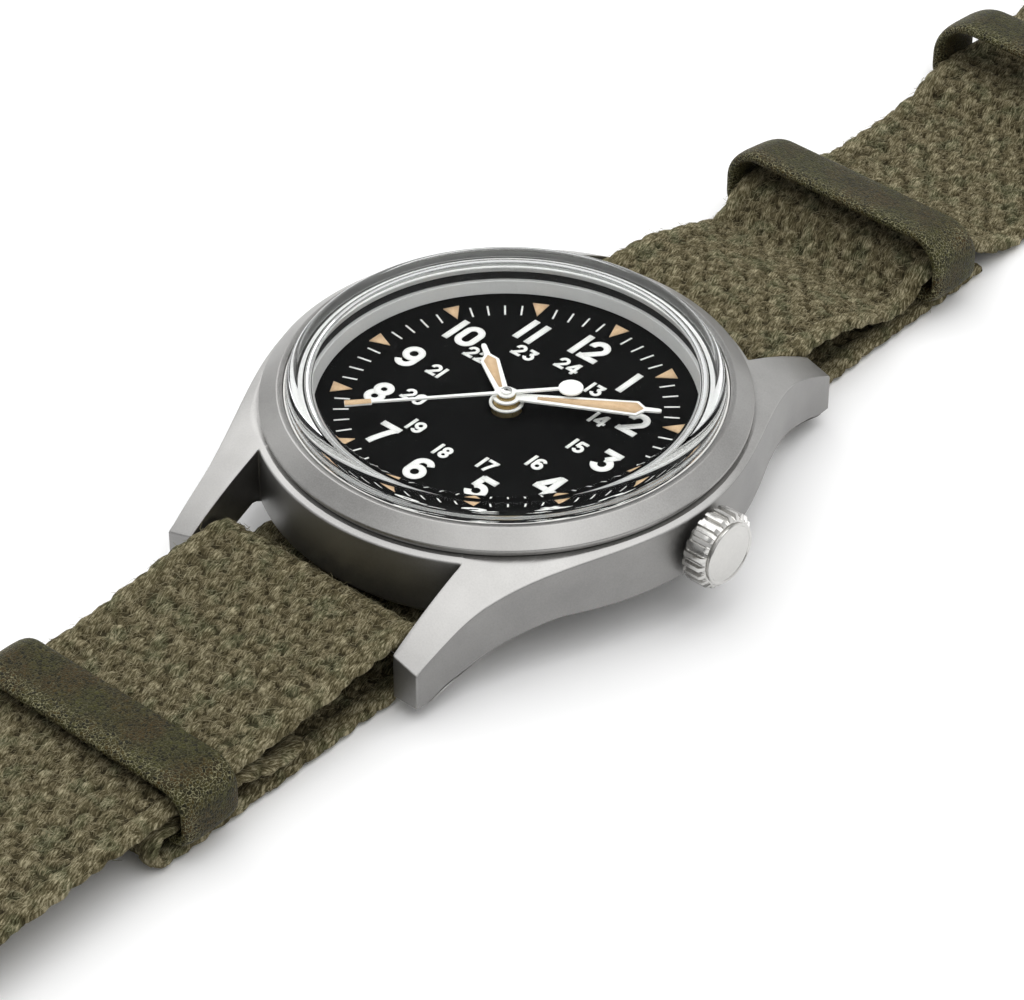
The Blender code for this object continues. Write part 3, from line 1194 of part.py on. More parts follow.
def build_plates():
    pivot = PIVOT_RADIUS + RUNNING_GAP
    plate = drum(
        "main_plate",
        PLATE_RADIUS,
        case_level(PLATE_LOW),
        case_level(PLATE_HIGH),
        "nickel",
        steps=TURN_STEPS,
    )
    cut(plate, stem_room("stem_slot", PLATE_LOW - 1 * MM, PLATE_HIGH + 1 * MM))
    stem_pilot = {"centre": (0, 0, STEM_Z), "along_x": True, "steps": 12}
    cut(
        plate,
        drum(
            "stem_pilot",
            STEM_RADIUS + RUNNING_GAP,
            WINDING_PINION_X - 1.3 * MM,
            WINDING_PINION_X,
            **stem_pilot,
        ),
    )
    hour_room = tip_radius(HOUR_TEETH, MOTION_MODULE) + POCKET_GAP
    pivot_hole(plate, "hour_room", (0, 0), hour_room, MOTION_WORK_FLOOR, PLATE_HIGH + 1 * MM)
    minute_room = tip_radius(MINUTE_TEETH, MOTION_MODULE) + POCKET_GAP
    pivot_hole(plate, "minute_room", MINUTE_AT, minute_room, MOTION_WORK_FLOOR, PLATE_HIGH + 1 * MM)
    pivot_hole(
        plate,
        "minute_post",
        MINUTE_AT,
        0.25 * MM + RUNNING_GAP,
        MOTION_WORK_FLOOR - 0.45 * MM,
        PLATE_HIGH,
    )
    pivot_hole(plate, "centre", (0, 0), CENTRE_ARBOR_RADIUS + RUNNING_GAP, PLATE_LOW - 1 * MM, PLATE_HIGH)
    barrel_pivot = BARREL_PIVOT_RADIUS + RUNNING_GAP
    pivot_hole(plate, "barrel", BARREL_AT, barrel_pivot, PLATE_LOW - 1 * MM, PIVOT_TOP + 0.1 * MM)
    for name, at in (*TRAIN_PIVOTS, ("balance", BALANCE_AT)):
        pivot_hole(plate, f"{name}_upper", at, pivot, PLATE_LOW - 1 * MM, PIVOT_TOP + 0.1 * MM)

    bridge_high = PLATE_LOW - FIT_GAP
    bridge = drum(
        "three_quarter_plate",
        PLATE_RADIUS - 0.1 * MM,
        case_level(BRIDGE_LOW),
        case_level(bridge_high),
        "nickel",
        steps=TURN_STEPS,
    )
    above = bridge_high + 0.3 * MM
    pockets = (
        ("barrel", BARREL_AT, tip_radius(BARREL_TEETH, BARREL_MODULE), BARREL_COVER_LEVEL[0]),
        ("ratchet", BARREL_AT, tip_radius(RATCHET_TEETH, WINDING_MODULE), WINDING_LEVEL[0]),
        ("crown_wheel", CROWN_WHEEL_AT, tip_radius(CROWN_WHEEL_TEETH, WINDING_MODULE), WINDING_LEVEL[0]),
        ("centre", (0, 0), tip_radius(CENTRE_TEETH, CENTRE_MODULE), CENTRE_LEVEL[0]),
        ("third", THIRD_AT, tip_radius(THIRD_TEETH, THIRD_MODULE), THIRD_LEVEL[0]),
        ("fourth", (0, 0), tip_radius(FOURTH_TEETH, FOURTH_MODULE), FOURTH_LEVEL[0]),
        ("escape", ESCAPE_AT, ESCAPE_RADIUS, FOURTH_LEVEL[0] - 0.06 * MM),
        ("fork", FORK_AT, FORK_FROM_BALANCE - 0.2 * MM, ESCAPE_LEVEL[0]),
    )
    for name, at, radius, low in pockets:
        room = drum(
            f"{name}_pocket",
            radius + POCKET_GAP,
            case_level(low - POCKET_GAP),
            case_level(above),
            centre=(*at, 0),
            steps=32,
        )
        cut(bridge, room)
    cut(
        bridge,
        drum(
            "balance_well",
            BALANCE_RADIUS + BALANCE_WELL_GAP,
            0,
            case_level(above),
            centre=(*BALANCE_AT, 0),
            steps=32,
        ),
    )
    cut(
        bridge,
        extruded(
            "cock_bay",
            [capsule(COCK_FOOT_AT, BALANCE_AT, COCK_HALF + FIT_GAP * 3)],
            0,
            case_level(above),
        ),
    )
    cut(bridge, stem_room("stem_bay", STEM_HEIGHT - WINDING_PINION_RADIUS - POCKET_GAP, above))
    for name, at, radius in (
        ("barrel", BARREL_AT, BARREL_PIVOT_RADIUS),
        ("crown_wheel", CROWN_WHEEL_AT, CROWN_WHEEL_POST_RADIUS),
        ("fourth", (0, 0), SECONDS_ARBOR_RADIUS),
    ):
        pivot_hole(bridge, f"{name}_lower", at, radius + RUNNING_GAP, PIVOT_LOW - 0.1 * MM, BARREL_LEVEL[0])
    for name, at in TRAIN_PIVOTS:
        pivot_hole(
            bridge,
            f"{name}_lower",
            at,
            ARBOR_RADIUS + RUNNING_GAP,
            PIVOT_LOW - 0.1 * MM,
            BARREL_LEVEL[0],
        )

    arm_high = HAIRSPRING_LEVEL - 0.2 * MM
    outline = capsule(COCK_FOOT_AT, BALANCE_AT, COCK_HALF)
    cock = extruded("balance_cock", [outline], case_level(BRIDGE_LOW), case_level(arm_high), kind="nickel")
    foot_place = {"centre": (*COCK_FOOT_AT, 0), "steps": SMALL_STEPS}
    fuse(
        cock,
        drum(
            "cock_foot",
            COCK_HALF - FIT_GAP,
            case_level(BRIDGE_LOW + 0.1 * MM),
            case_level(bridge_high),
            **foot_place,
        ),
    )
    pivot_hole(cock, "balance_lower", BALANCE_AT, pivot, PIVOT_LOW - 0.1 * MM, arm_high + 1 * MM)

    screw_at = [from_axis(PLATE_RADIUS - 1.3 * MM, angle) for angle in PLATE_SCREW_ANGLES]
    held = [(f"plate_screw_{i}", at, bridge) for i, at in enumerate(screw_at, start=1)]
    for name, at, holder in (*held, ("cock_screw", COCK_FOOT_AT, cock)):
        build_screw(name, at, (holder, plate))


def build_screw(name, at, held):
    """A slotted screw from the case back side, and its hole in the pieces that it holds together."""
    head_low = BRIDGE_LOW + 0.05 * MM
    head_high = head_low + SCREW_HEAD_HEIGHT
    tip = PLATE_LOW + 0.9 * MM
    profile = [(0, case_level(tip)), (SCREW_RADIUS, case_level(tip)), (SCREW_RADIUS, case_level(head_high))]
    profile += [
        (SCREW_HEAD_RADIUS, case_level(head_high)),
        (SCREW_HEAD_RADIUS, case_level(head_low)),
        (0, case_level(head_low)),
    ]
    screw = turned(name, profile, "blued_steel", centre=(*at, 0), steps=16)
    slot = block(
        f"{name}_slot",
        (-1 * MM, -0.1 * MM, case_level(head_low) - 1 * MM),
        (1 * MM, 0.1 * MM, case_level(head_low) + 0.15 * MM),
    )
    slot.location = (*at, 0)
    cut(screw, slot)
    room = [(0, case_level(tip + 0.1 * MM)), (SCREW_RADIUS + FIT_GAP, case_level(tip + 0.1 * MM))]
    room += [
        (SCREW_RADIUS + FIT_GAP, case_level(head_high + FIT_GAP)),
        (SCREW_HEAD_RADIUS + FIT_GAP, case_level(head_high + FIT_GAP)),
    ]
    room += [(SCREW_HEAD_RADIUS + FIT_GAP, 0), (0, 0)]
    cut_room = turned(f"{name}_room", room, centre=(*at, 0), steps=16)
    for piece in held:
        cut(piece, cut_room)


def build_movement_ring():
    low, high = case_level(MOVEMENT_RING_LOW), DIAL_Z - DIAL_THICKNESS - FIT_GAP
    inner, outer = PLATE_RADIUS + FIT_GAP, BACK_THREAD_RADIUS - 1.2 * MM
    holder = ring("movement_ring", inner, outer, low, high, "nickel")
    half = WINDING_PINION_RADIUS + POCKET_GAP
    gate = block(
        "stem_gate",
        (inner - 1 * MM, -half / 2, STEM_Z - half / 2),
        (outer + 1 * MM, half / 2, STEM_Z + half / 2),
    )
    cut(holder, gate)


build_straps()
build_keepers()
build_buckle()
build_case()
build_case_back()
build_spring_bars()
build_bezel_and_crystal()
build_dial()
build_hands()
build_crown()
build_going_train()
build_escapement()
build_motion_work()
build_winding_work()
build_plates()
build_movement_ring()
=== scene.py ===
"""A hand-wound field wristwatch on a canvas pass-through strap, lying on a white table.

Pieces are modelled in millimetres and scaled to metres when they are finished.
X points to the crown, Y to 12 o'clock and the buckle, Z up out of the dial.
"""
import json
from math import acos, atan2, cos, hypot, pi, radians, sin, sqrt

import bmesh
import bpy
import numpy as np
from mathutils import Matrix, Vector


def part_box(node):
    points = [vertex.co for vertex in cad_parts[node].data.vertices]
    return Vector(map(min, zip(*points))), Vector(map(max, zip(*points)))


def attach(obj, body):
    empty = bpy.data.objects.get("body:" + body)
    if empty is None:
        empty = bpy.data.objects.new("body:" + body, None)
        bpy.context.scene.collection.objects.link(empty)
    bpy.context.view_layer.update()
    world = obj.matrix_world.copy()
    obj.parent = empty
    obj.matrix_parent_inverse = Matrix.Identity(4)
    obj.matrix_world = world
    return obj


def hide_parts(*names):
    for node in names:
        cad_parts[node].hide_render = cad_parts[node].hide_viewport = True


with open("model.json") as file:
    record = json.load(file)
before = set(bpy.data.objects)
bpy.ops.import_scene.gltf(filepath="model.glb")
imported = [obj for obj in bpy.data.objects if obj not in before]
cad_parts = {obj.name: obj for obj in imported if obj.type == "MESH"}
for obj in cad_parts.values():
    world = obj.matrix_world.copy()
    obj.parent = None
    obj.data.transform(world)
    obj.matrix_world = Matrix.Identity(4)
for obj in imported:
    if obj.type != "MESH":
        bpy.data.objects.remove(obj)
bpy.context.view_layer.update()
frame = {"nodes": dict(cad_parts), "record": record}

MM = 0.001
CHANCE = np.random.default_rng(11)

# Case and bezel
CASE_RADIUS, LUG_TIP_Y, LUG_INNER_X, LUG_OUTER_X, LUG_CURVE = 19.0, 23.5, 10.0, 12.35, 9.0
FLAT_RADIUS, FLAT_Z, LUG_TIP_Z = 18.5, 9.16, 4.34
BORE_RADIUS, CASE_EDGE, EDGE_STEP = 15.55, 0.1, 0.03
BACK_RADIUS, BACK_Z, BACK_SEAT_Z = 16.25, 3.35, 4.3
# The case from below: radius and height.
UNDERSIDE = ((18.2, 3.35), (18.7, 4.0), (19.6, 4.4), (25.45, 1.3), (30.0, 1.3))
FLANK_SLOPE, SHARP_ANGLE = 0.35, 32

# Dial
DIAL_Z, PRINT_HEIGHT = 7.8, 0.03
NUMERAL_RADIUS, NUMERAL_HEIGHT, INNER_RADIUS, INNER_HEIGHT = 9.7, 2.68, 7.0, 1.37
STROKE, DIGIT_WIDTH, DIGIT_GAP, ONES_GAP = 0.205, 0.67, 0.1, 0.22
TICK_START, TICK_END, TICK_WIDTH = 11.73, 12.9, 0.14
TRIANGLE, TRIANGLE_HEIGHT = ((11.78, 0.01), (13.34, 0.64)), 0.06

# Hands
HOUR_ANGLE, MINUTE_ANGLE, SECONDS_ANGLE = 304.8, 57.7, 222.0
BLADE_HEIGHT, HUB_HEIGHT, PASTE_LIFT, PASTE_HEIGHT = 0.148, 0.15, 0.1, 0.075
WEIGHT_RADIUS, WEIGHT_REACH = 0.93, 4.82

# Crown
CROWN_Z, CROWN_TEETH, TOOTH_STEPS = 6.2, 22, 16

# Strap: yarns and the cloth they make
WARP_PITCH, WEFT_PITCH, FIELD_YARNS = 1.03, 1.28, 14
YARN_HALF_WIDTH, YARN_HALF_HEIGHT, YARN_WAVE, YARN_ROUGH = 0.6, 0.4, 0.14, 0.016
SQUEEZE = YARN_HALF_HEIGHT / YARN_HALF_WIDTH
WEFT_HALF_WIDTH, WEFT_WAVE, WEFT_REACH = 0.62, 0.05, 8.2
YARN_SLANT, WEFT_SLANT, YARN_SIDES = 0.12, 0.08, 8
EDGE_CORD_X, EDGE_CORD_LAY, EDGE_STRAND, EDGE_HELIX, EDGE_STRANDS = 8.76, 5.6, 0.66, 0.37, 3
STRAP_WIDTH, CORE_HALF_WIDTH, CORE_THICKNESS, CLOTH_HALF, CLOTH_TOP = 19.6, 8.8, 0.3, 0.59, 1.2
BINDING_REACH, BINDING_HALF, EYELET_RADIUS, EYELET_LIFT, EYELET_HALF = 9.3, 0.62, 1.3, 0.3, 0.42
STANDING_SHARE, FACE_SHARE, HAIR_HEADING, HAIR_HALF, HAIR_TAPER = 0.12, 0.85, 112, 0.026, 0.014
LONG_HAIRS, SHORT_HAIRS = 8500, 4000

# Strap: where it runs. An opening is its start, its end and its half width.
BAR_Y, BAR_Z, BAR_WRAP, LUG_BEND, UNDER_CASE_Z = 21.5, 3.6, 1.66, 0.9, 1.94
LONG_LOW, TABLE_GAP = 0.63, 0.02
TONGUE_SLOT = (7.9, 17.4, 1.2)
HOLE_COUNT, HOLE_PITCH, HOLE_HALF_LENGTH, HOLE_HALF_WIDTH = 8, 7, 0.95, 1.0
TAIL_Y, FIRST_HOLE_Y, TIP_RADIUS, SPREAD, SPREAD_RUN = 168, 102, 10.8, 0.35, 1.5

# Keepers: the radius of each one's upper bends and the lean of its band
KEEPER_HALF, KEEPER_FOOT, KEEPER_STEP, SECTION_STEPS = 0.525, 1.1, 0.6, 40
KEEPERS = ((2.5, 0.2), (3.4, 0.12), (1.9, 0.0))


def linear(code):
    """An sRGB hex colour as linear red, green, blue and alpha."""
    parts = [int(code[i:i + 2], 16) / 255 for i in (1, 3, 5)]
    return [c / 12.92 if c <= 0.04045 else ((c + 0.055) / 1.055) ** 2.4 for c in parts] + [1]


def per(size):
    """Texture scale for a pattern whose features are that many millimetres apart."""
    return 1 / (size * MM)


# Materials

# A Mix node's settings where it mixes colours.
COLOUR = {"data_type": "RGBA", "out": 2}


def add(tree, kind, inputs=(), out=0, **settings):
    """One shader node: its settings, and its inputs as values or as sockets. Gives one output."""
    made = tree.nodes.new("ShaderNode" + kind)
    for name, value in settings.items():
        setattr(made, name, value)
    for name, value in dict(inputs).items():
        if isinstance(value, bpy.types.NodeSocket):
            tree.links.new(value, made.inputs[name])
        else:
            made.inputs[name].default_value = value
    return made.outputs[out]


def feed(tree, shader, **sockets):
    """Links patterns to a shader's sockets."""
    for socket, pattern in sockets.items():
        tree.links.new(pattern, shader.inputs[socket.replace("_", " ")])


def finish_named(name, **sockets):
    """A new material with its Principled shader's own sockets set."""
    material = bpy.data.materials.new(name)
    material.use_nodes = True
    shader = material.node_tree.nodes["Principled BSDF"]
    for socket, value in sockets.items():
        shader.inputs[socket.replace("_", " ")].default_value = value
    return material, material.node_tree, shader


def grained(name, dark, light, grain, depth, rough, metallic=0.0, blotch=4.0, **more):
    """A surface with fine grain: colour drifts in blotches, roughness and relief follow the grain."""
    material, tree, shader = finish_named(name, Metallic=metallic, **more)
    place = add(tree, "TexCoord", out="Object")
    drift = add(tree, "TexNoise", {"Vector": place, "Scale": per(blotch), "Detail": 3.0})
    grit = add(tree, "TexNoise", {"Vector": place, "Scale": per(grain), "Detail": 2.0})
    both = add(tree, "Math", {0: drift, 1: grit}, operation="ADD")
    share = add(tree, "MapRange", {0: both, 1: 0.7, 2: 1.3})
    colour = add(tree, "Mix", {0: share, 6: linear(dark), 7: linear(light)}, **COLOUR)
    roughness = add(tree, "MapRange", {0: grit, 1: 0.3, 2: 0.7, 3: rough[0], 4: rough[1]})
    relief = add(tree, "Bump", {"Height": grit, "Strength": 1.0, "Distance": depth * MM})
    feed(tree, shader, Base_Color=colour, Roughness=roughness, Normal=relief)
    return material


# Stainless steel, bead-blasted: a fine sparkling grit, drawn at 0.14 mm so that it shows.
BLASTED_STEEL = grained("bead_blasted_steel", "#a09f9d", "#b2b1af", 0.14, 0.004, (0.34, 0.46), 1.0)
# The flanks between top and table carry the same blast, drawn darker as painted shade: steep faces take
# this darker copy of the steel.
PAINTED_SHADE_FLANK_STEEL = grained("bead_blasted_steel_flank_painted_shade", "#878685", "#969593", 0.14, 0.004, (0.38, 0.5), 1.0)
# Stainless steel, satin-turned: the bezel's cone carries a softer, finer grit.
SATIN_STEEL = grained("satin_turned_steel", "#949391", "#a6a5a3", 0.12, 0.004, (0.3, 0.42), 1.0)
# Stainless steel, polished: clear reflections with a trace of handling haze.
POLISHED_STEEL = grained("polished_steel", "#cfcecb", "#d8d7d4", 0.6, 0.0004, (0.1, 0.18), 1.0)
# The crown: turned and lightly polished, its flutes still a little satin.
CROWN_STEEL = grained("lightly_polished_steel", "#c4c3c0", "#cfcecb", 0.3, 0.0006, (0.18, 0.26), 1.0)
# Silvered brass ring round the dial: satin and pale.
SILVERED_RING = grained("satin_silvered_brass", "#d4d3d1", "#dfdedc", 0.15, 0.002, (0.4, 0.5), 0.3)
# Dial lacquer: matt black with a very fine tooth.
BLACK_LACQUER = grained("matt_black_lacquer", "#0b0b0b", "#101010", 0.16, 0.002, (0.6, 0.75),
                        Specular_IOR_Level=0.04)
# Pad-printed ink and the hands' paint: white, faintly uneven.
WHITE_PAINT = grained("white_lacquer", "#f1f0ec", "#fbfaf6", 0.2, 0.001, (0.35, 0.5))
# Aged luminous compound: a warm tan paste with grains in it.
TAN_LUME = grained("tan_luminous_paste", "#cdaa83", "#dcbd98", 0.13, 0.012, (0.7, 0.85), blotch=0.5)
# Turned brass: pale gold, softly bright, with faint tool marks.
TURNED_BRASS = grained("turned_brass", "#d6bd86", "#e6d2a0", 0.15, 0.002, (0.26, 0.4), 0.85)
# Nickel-plated brass: a warm grey satin.
NICKEL_PLATE = grained("nickel_plated_brass", "#bcb7ad", "#ccc8bf", 0.2, 0.002, (0.28, 0.4), 1.0)
# Spring steel blued by heat: deep blue with a clear shine.
BLUED_SPRING = grained("blued_spring_steel", "#2a3566", "#3a4a85", 0.2, 0.001, (0.2, 0.34), 1.0)
# Nylon: pale and smooth, for the crystal's seal.
NYLON = grained("white_nylon", "#d9d8d4", "#e4e3df", 0.3, 0.001, (0.4, 0.5))
# Nitrile rubber: dull black.
RUBBER = grained("black_nitrile_rubber", "#161616", "#202020", 0.2, 0.004, (0.6, 0.75))


def sapphire():
    """Sapphire glass, coated against reflections: clear, bends light, lets the lamps through."""
    material, tree, shader = finish_named(
        "sapphire_glass", Base_Color=linear("#fbfdfd"), Roughness=0.0, IOR=1.77,
        Transmission_Weight=1.0, Specular_Tint=linear("#101010")
    )
    clear = add(tree, "BsdfTransparent")
    lamp = add(tree, "LightPath", out="Is Shadow Ray")
    both = add(tree, "MixShader", {0: lamp, 1: shader.outputs[0], 2: clear})
    tree.links.new(both, tree.nodes["Material Output"].inputs["Surface"])
    return material


def canvas(name, deep, mid, green, pale, slant, lift):
    """Cotton yarn: matt, hairy fibres slanted by the twist, drawn 0.1 mm apart and dyed unevenly.

    The strap's UV map is in millimetres, so its scales are patterns to the millimetre.
    """
    material, tree, shader = finish_named(
        name, Roughness=0.95, Sheen_Weight=0.12, Sheen_Roughness=0.6, Specular_IOR_Level=0.1
    )
    flat = add(tree, "UVMap", uv_map="strap")
    turn = add(tree, "Mapping", {"Vector": flat, "Rotation": (0, 0, radians(slant))})
    along = add(tree, "Mapping", {"Vector": turn, "Scale": (1, 0.17, 1)})
    fibre = add(tree, "TexNoise", {"Vector": along, "Scale": 9.0, "Detail": 4.0, "Roughness": 0.7})
    patch = add(tree, "TexNoise", {"Vector": flat, "Scale": 1.1, "Detail": 2.0})
    both = add(tree, "Math", {0: patch, 1: 0.4, 2: fibre}, operation="MULTIPLY_ADD")
    low = add(tree, "MapRange", {0: both, 1: 0.54, 2: 0.7})
    high = add(tree, "MapRange", {0: both, 1: 0.7, 2: 0.87})
    dyed = add(tree, "TexNoise", {"Vector": flat, "Scale": 0.45, "Detail": 2.0})
    share = add(tree, "MapRange", {0: dyed, 1: 0.5, 2: 0.66})
    hue = add(tree, "Mix", {0: share, 6: linear(mid), 7: linear(green)}, **COLOUR)
    body = add(tree, "Mix", {0: low, 6: linear(deep), 7: hue}, **COLOUR)
    colour = add(tree, "Mix", {0: high, 6: body, 7: linear(pale)}, **COLOUR)
    relief = add(tree, "Bump", {"Height": fibre, "Strength": 1.0, "Distance": lift * MM})
    feed(tree, shader, Base_Color=colour, Normal=relief)
    shader.inputs["Sheen Tint"].default_value = linear(pale)
    return material


def leather():
    """Waxed cowhide: small pebbles with creases between them, browner patches and a low wax gloss.
    Painted shade darkens the creases, painted glints speck the pebbles, and a pale rubbed net follows a
    mask of wear and painted highlight.
    """
    material, tree, shader = finish_named("waxed_olive_leather", Specular_IOR_Level=0.13)
    pebbles, shift = per(0.26), (0.12 * MM,) * 3
    place = add(tree, "TexCoord", out="Object")
    drift = add(tree, "TexNoise", {"Vector": place, "Scale": per(0.5), "Detail": 2.0}, out=1)
    bent = add(tree, "VectorMath", {0: drift, 1: shift}, operation="MULTIPLY")
    bent = add(tree, "VectorMath", {0: place, 1: bent}, operation="ADD")
    pebble = add(tree, "TexVoronoi", {"Vector": bent, "Scale": pebbles}, feature="DISTANCE_TO_EDGE")
    cell = add(tree, "TexVoronoi", {"Vector": bent, "Scale": pebbles}, out="Color")
    fine = add(tree, "TexNoise", {"Vector": place, "Scale": per(0.14), "Detail": 3.0})
    patch = add(tree, "TexNoise", {"Vector": place, "Scale": per(3.0), "Detail": 3.0})
    crease = add(tree, "MapRange", {0: pebble, 1: 0.0, 2: 0.25})
    wear_and_highlight = add(tree, "Attribute", attribute_name="wear_and_highlight", out="Fac")
    spots = add(tree, "MapRange", {0: patch, 1: 0.42, 2: 0.62})
    line = add(tree, "MapRange", {0: pebble, 1: 0.0, 2: 0.1, 3: 1.0, 4: 0.0})
    # A pale rubbed net along the creases, laid where the wear-and-highlight mask is high: wear, with
    # painted highlight on the near edge.
    rubbed_and_highlit = add(tree, "MapRange", {0: fine, 1: 0.4, 2: 0.56, 3: 0.15, 4: 1.0})
    rubbed_and_highlit = add(tree, "Math", {0: wear_and_highlight, 1: rubbed_and_highlit}, operation="MULTIPLY")
    rubbed_and_highlit = add(tree, "Math", {0: rubbed_and_highlit, 1: line}, operation="MULTIPLY")
    olive, brown = linear("#42411f"), linear("#44361a")
    body = add(tree, "Mix", {0: spots, 6: olive, 7: brown}, **COLOUR)
    # Painted shade: each pebble darkens towards the creases round it, on top of its own random tone.
    shade = add(tree, "SeparateColor", {0: cell})
    shade = add(tree, "Math", {0: shade, 1: fine, 2: -0.15}, operation="MULTIPLY_ADD")
    shade = add(tree, "Math", {0: shade, 1: crease, 2: 0.1}, operation="MULTIPLY_ADD")
    painted_crease_shade = add(tree, "MapRange", {0: shade, 1: 0.0, 2: 0.4})
    body = add(tree, "Mix", {0: painted_crease_shade, 6: linear("#1a190a"), 7: body}, **COLOUR)
    # Painted glints: pale specks on the pebbles, a little more of them where the wear-and-highlight
    # mask is high.
    painted_glint = add(tree, "MapRange", {0: fine, 1: 0.54, 2: 0.74})
    worn_and_highlit = add(tree, "Math", {0: wear_and_highlight, 1: 0.06, 2: 0.08}, operation="MULTIPLY_ADD")
    painted_glint = add(tree, "Math", {0: painted_glint, 1: worn_and_highlit}, operation="MULTIPLY")
    body = add(tree, "Mix", {0: painted_glint, 6: body, 7: linear("#87835f")}, **COLOUR)
    worn_and_highlit = add(tree, "Mix", {0: rubbed_and_highlit, 6: body, 7: linear("#9a9675")}, **COLOUR)
    height = add(tree, "Math", {0: fine, 1: 0.5, 2: crease}, operation="MULTIPLY_ADD")
    relief = add(tree, "Bump", {"Height": height, "Strength": 1.0, "Distance": 0.05 * MM})
    roughness = add(tree, "MapRange", {0: crease, 3: 0.65, 4: 0.42})
    feed(tree, shader, Base_Color=worn_and_highlit, Roughness=roughness, Normal=relief)
    return material


SAPPHIRE = sapphire()
# Warp yarns, edge cords and bindings show most; the weft lies deeper between them, and its colours are
# darker as painted shade.
CANVAS = canvas("olive_cotton_warp", "#282413", "#5b543d", "#57573f", "#a39b7f", 16, 0.1)
CANVAS_WEFT_PAINTED_SHADE = canvas("olive_cotton_weft_painted_shade", "#252112", "#524b36", "#4e4f39", "#90876c", 16, 0.1)
# Single fibres take a paler copy of the cotton as painted highlight; the ribbon inside the cloth takes
# a darker copy as painted shade in its gaps.
CANVAS_FUZZ_PAINTED_HIGHLIGHT = canvas("olive_cotton_fibre_painted_highlight", "#625b44", "#837b61", "#7c7e64", "#a79f83", 0, 0.005)
CANVAS_CORE_PAINTED_SHADE = canvas("olive_cotton_backing_painted_shade", "#29251a", "#3a3526", "#363826", "#4a442f", 0, 0.05)
LEATHER = leather()
FINISHES = {
    "blasted_steel": BLASTED_STEEL, "polished_steel": POLISHED_STEEL, "sapphire": SAPPHIRE,
    "black_rubber": RUBBER, "satin_silver": SILVERED_RING, "matt_black": BLACK_LACQUER,
    "white_lacquer": WHITE_PAINT, "brass": TURNED_BRASS, "nickel": NICKEL_PLATE,
    "blued_steel": BLUED_SPRING, "olive_canvas": CANVAS_CORE_PAINTED_SHADE, "olive_leather": LEATHER,
}


# Shaping tools

def arc(centre, radius, start, end, count):
    """Points along a circle between two angles in degrees."""
    angles = [radians(start + (end - start) * i / (count - 1)) for i in range(count)]
    return [(centre[0] + radius * cos(a), centre[1] + radius * sin(a)) for a in angles]


def eased(points, size, closed=True, least=20, steps=4):
    """Rounds each corner of an outline that turns by more than `least` degrees."""
    made = []
    for i, corner in enumerate(points):
        if not closed and i in (0, len(points) - 1):
            made.append(corner)
            continue
        here = Vector(corner)
        back, on = Vector(points[i - 1]) - here, Vector(points[(i + 1) % len(points)]) - here
        if pi - back.angle(on) < radians(least):
            made.append(corner)
            continue
        first = here + back.normalized() * min(size, back.length * 0.45)
        last = here + on.normalized() * min(size, on.length * 0.45)
        for k in range(steps):
            t = k / (steps - 1)
            made.append(tuple(first * (1 - t) ** 2 + here * 2 * t * (1 - t) + last * t * t))
    return made


def turned(profile, steps=160):
    """A body turned on the Z axis from a closed profile of radius and height."""
    bm = bmesh.new()
    points = [bm.verts.new((r, 0, z)) for r, z in profile]
    edges = [bm.edges.new(pair) for pair in zip(points, points[1:] + points[:1])]
    bmesh.ops.spin(bm, geom=points + edges, cent=(0, 0, 0), axis=(0, 0, 1), angle=2 * pi, steps=steps,
                   use_merge=True)
    return bm


def loft(bm, rings, closed=True):
    """Skins a row of outlines with the same number of points by extruding one to the next."""
    loop = [bm.verts.new(p) for p in rings[0]]
    pairs = list(zip(range(len(loop)), list(range(1, len(loop))) + [0]))[:None if closed else -1]
    edges = [bm.edges.new((loop[a], loop[b])) for a, b in pairs]
    for ring in rings[1:]:
        made = bmesh.ops.extrude_edge_only(bm, edges=edges)["geom"]
        fresh = {v for v in made if isinstance(v, bmesh.types.BMVert)}
        loop = [next(w for e in v.link_edges if (w := e.other_vert(v)) in fresh) for v in loop]
        for vert, place in zip(loop, ring):
            vert.co = place
        edges = [bm.edges.get((loop[a], loop[b])) for a, b in pairs]
    return bm


def thicken(bm, faces, height):
    """Raises flat faces into a closed slab."""
    made = bmesh.ops.extrude_face_region(bm, geom=faces, use_keep_orig=True)["geom"]
    upper = [v for v in made if isinstance(v, bmesh.types.BMVert)]
    bmesh.ops.translate(bm, vec=(0, 0, height), verts=upper)


def swing(bm, verts, angle):
    """Turns points round the dial's middle, clockwise from 12 o'clock, by that many degrees."""
    bmesh.ops.rotate(bm, cent=(0, 0, 0), matrix=Matrix.Rotation(-radians(angle), 3, "Z"), verts=verts)


def blade(bm, stations, z, height, angle):
    """A flat blade through stations of distance and half width, pointing at an angle."""
    known = set(bm.verts)
    loft(bm, [[(-w, y, z), (w, y, z)] for y, w in stations], closed=False)
    fresh = [v for v in bm.verts if v not in known]
    thicken(bm, list({f for v in fresh for f in v.link_faces}), height)
    swing(bm, [v for v in bm.verts if v not in known], angle)


def as_mesh(bm, name):
    """The finished shape as a mesh."""
    mesh = bpy.data.meshes.new(name)
    bm.to_mesh(mesh)
    bm.free()
    return mesh


def put(name, data):
    """A new object in the scene."""
    obj = bpy.data.objects.new(name, data)
    bpy.context.scene.collection.objects.link(obj)
    return obj


def join(bm, other):
    """Adds another shape to this one."""
    mesh = as_mesh(other, "joined")
    bm.from_mesh(mesh)
    bpy.data.meshes.remove(mesh)


def piece(name, bm, material, body, nodes=(), weighted=True):
    """Finishes a modelled shape: merged, faces outwards, scaled to metres, riding on a body."""
    bmesh.ops.remove_doubles(bm, verts=bm.verts, dist=1e-4)
    bmesh.ops.dissolve_degenerate(bm, edges=bm.edges, dist=1e-5)
    bmesh.ops.recalc_face_normals(bm, faces=bm.faces)
    bmesh.ops.scale(bm, vec=(MM,) * 3, verts=bm.verts)
    return settle(name, as_mesh(bm, name), material, body, nodes, weighted)


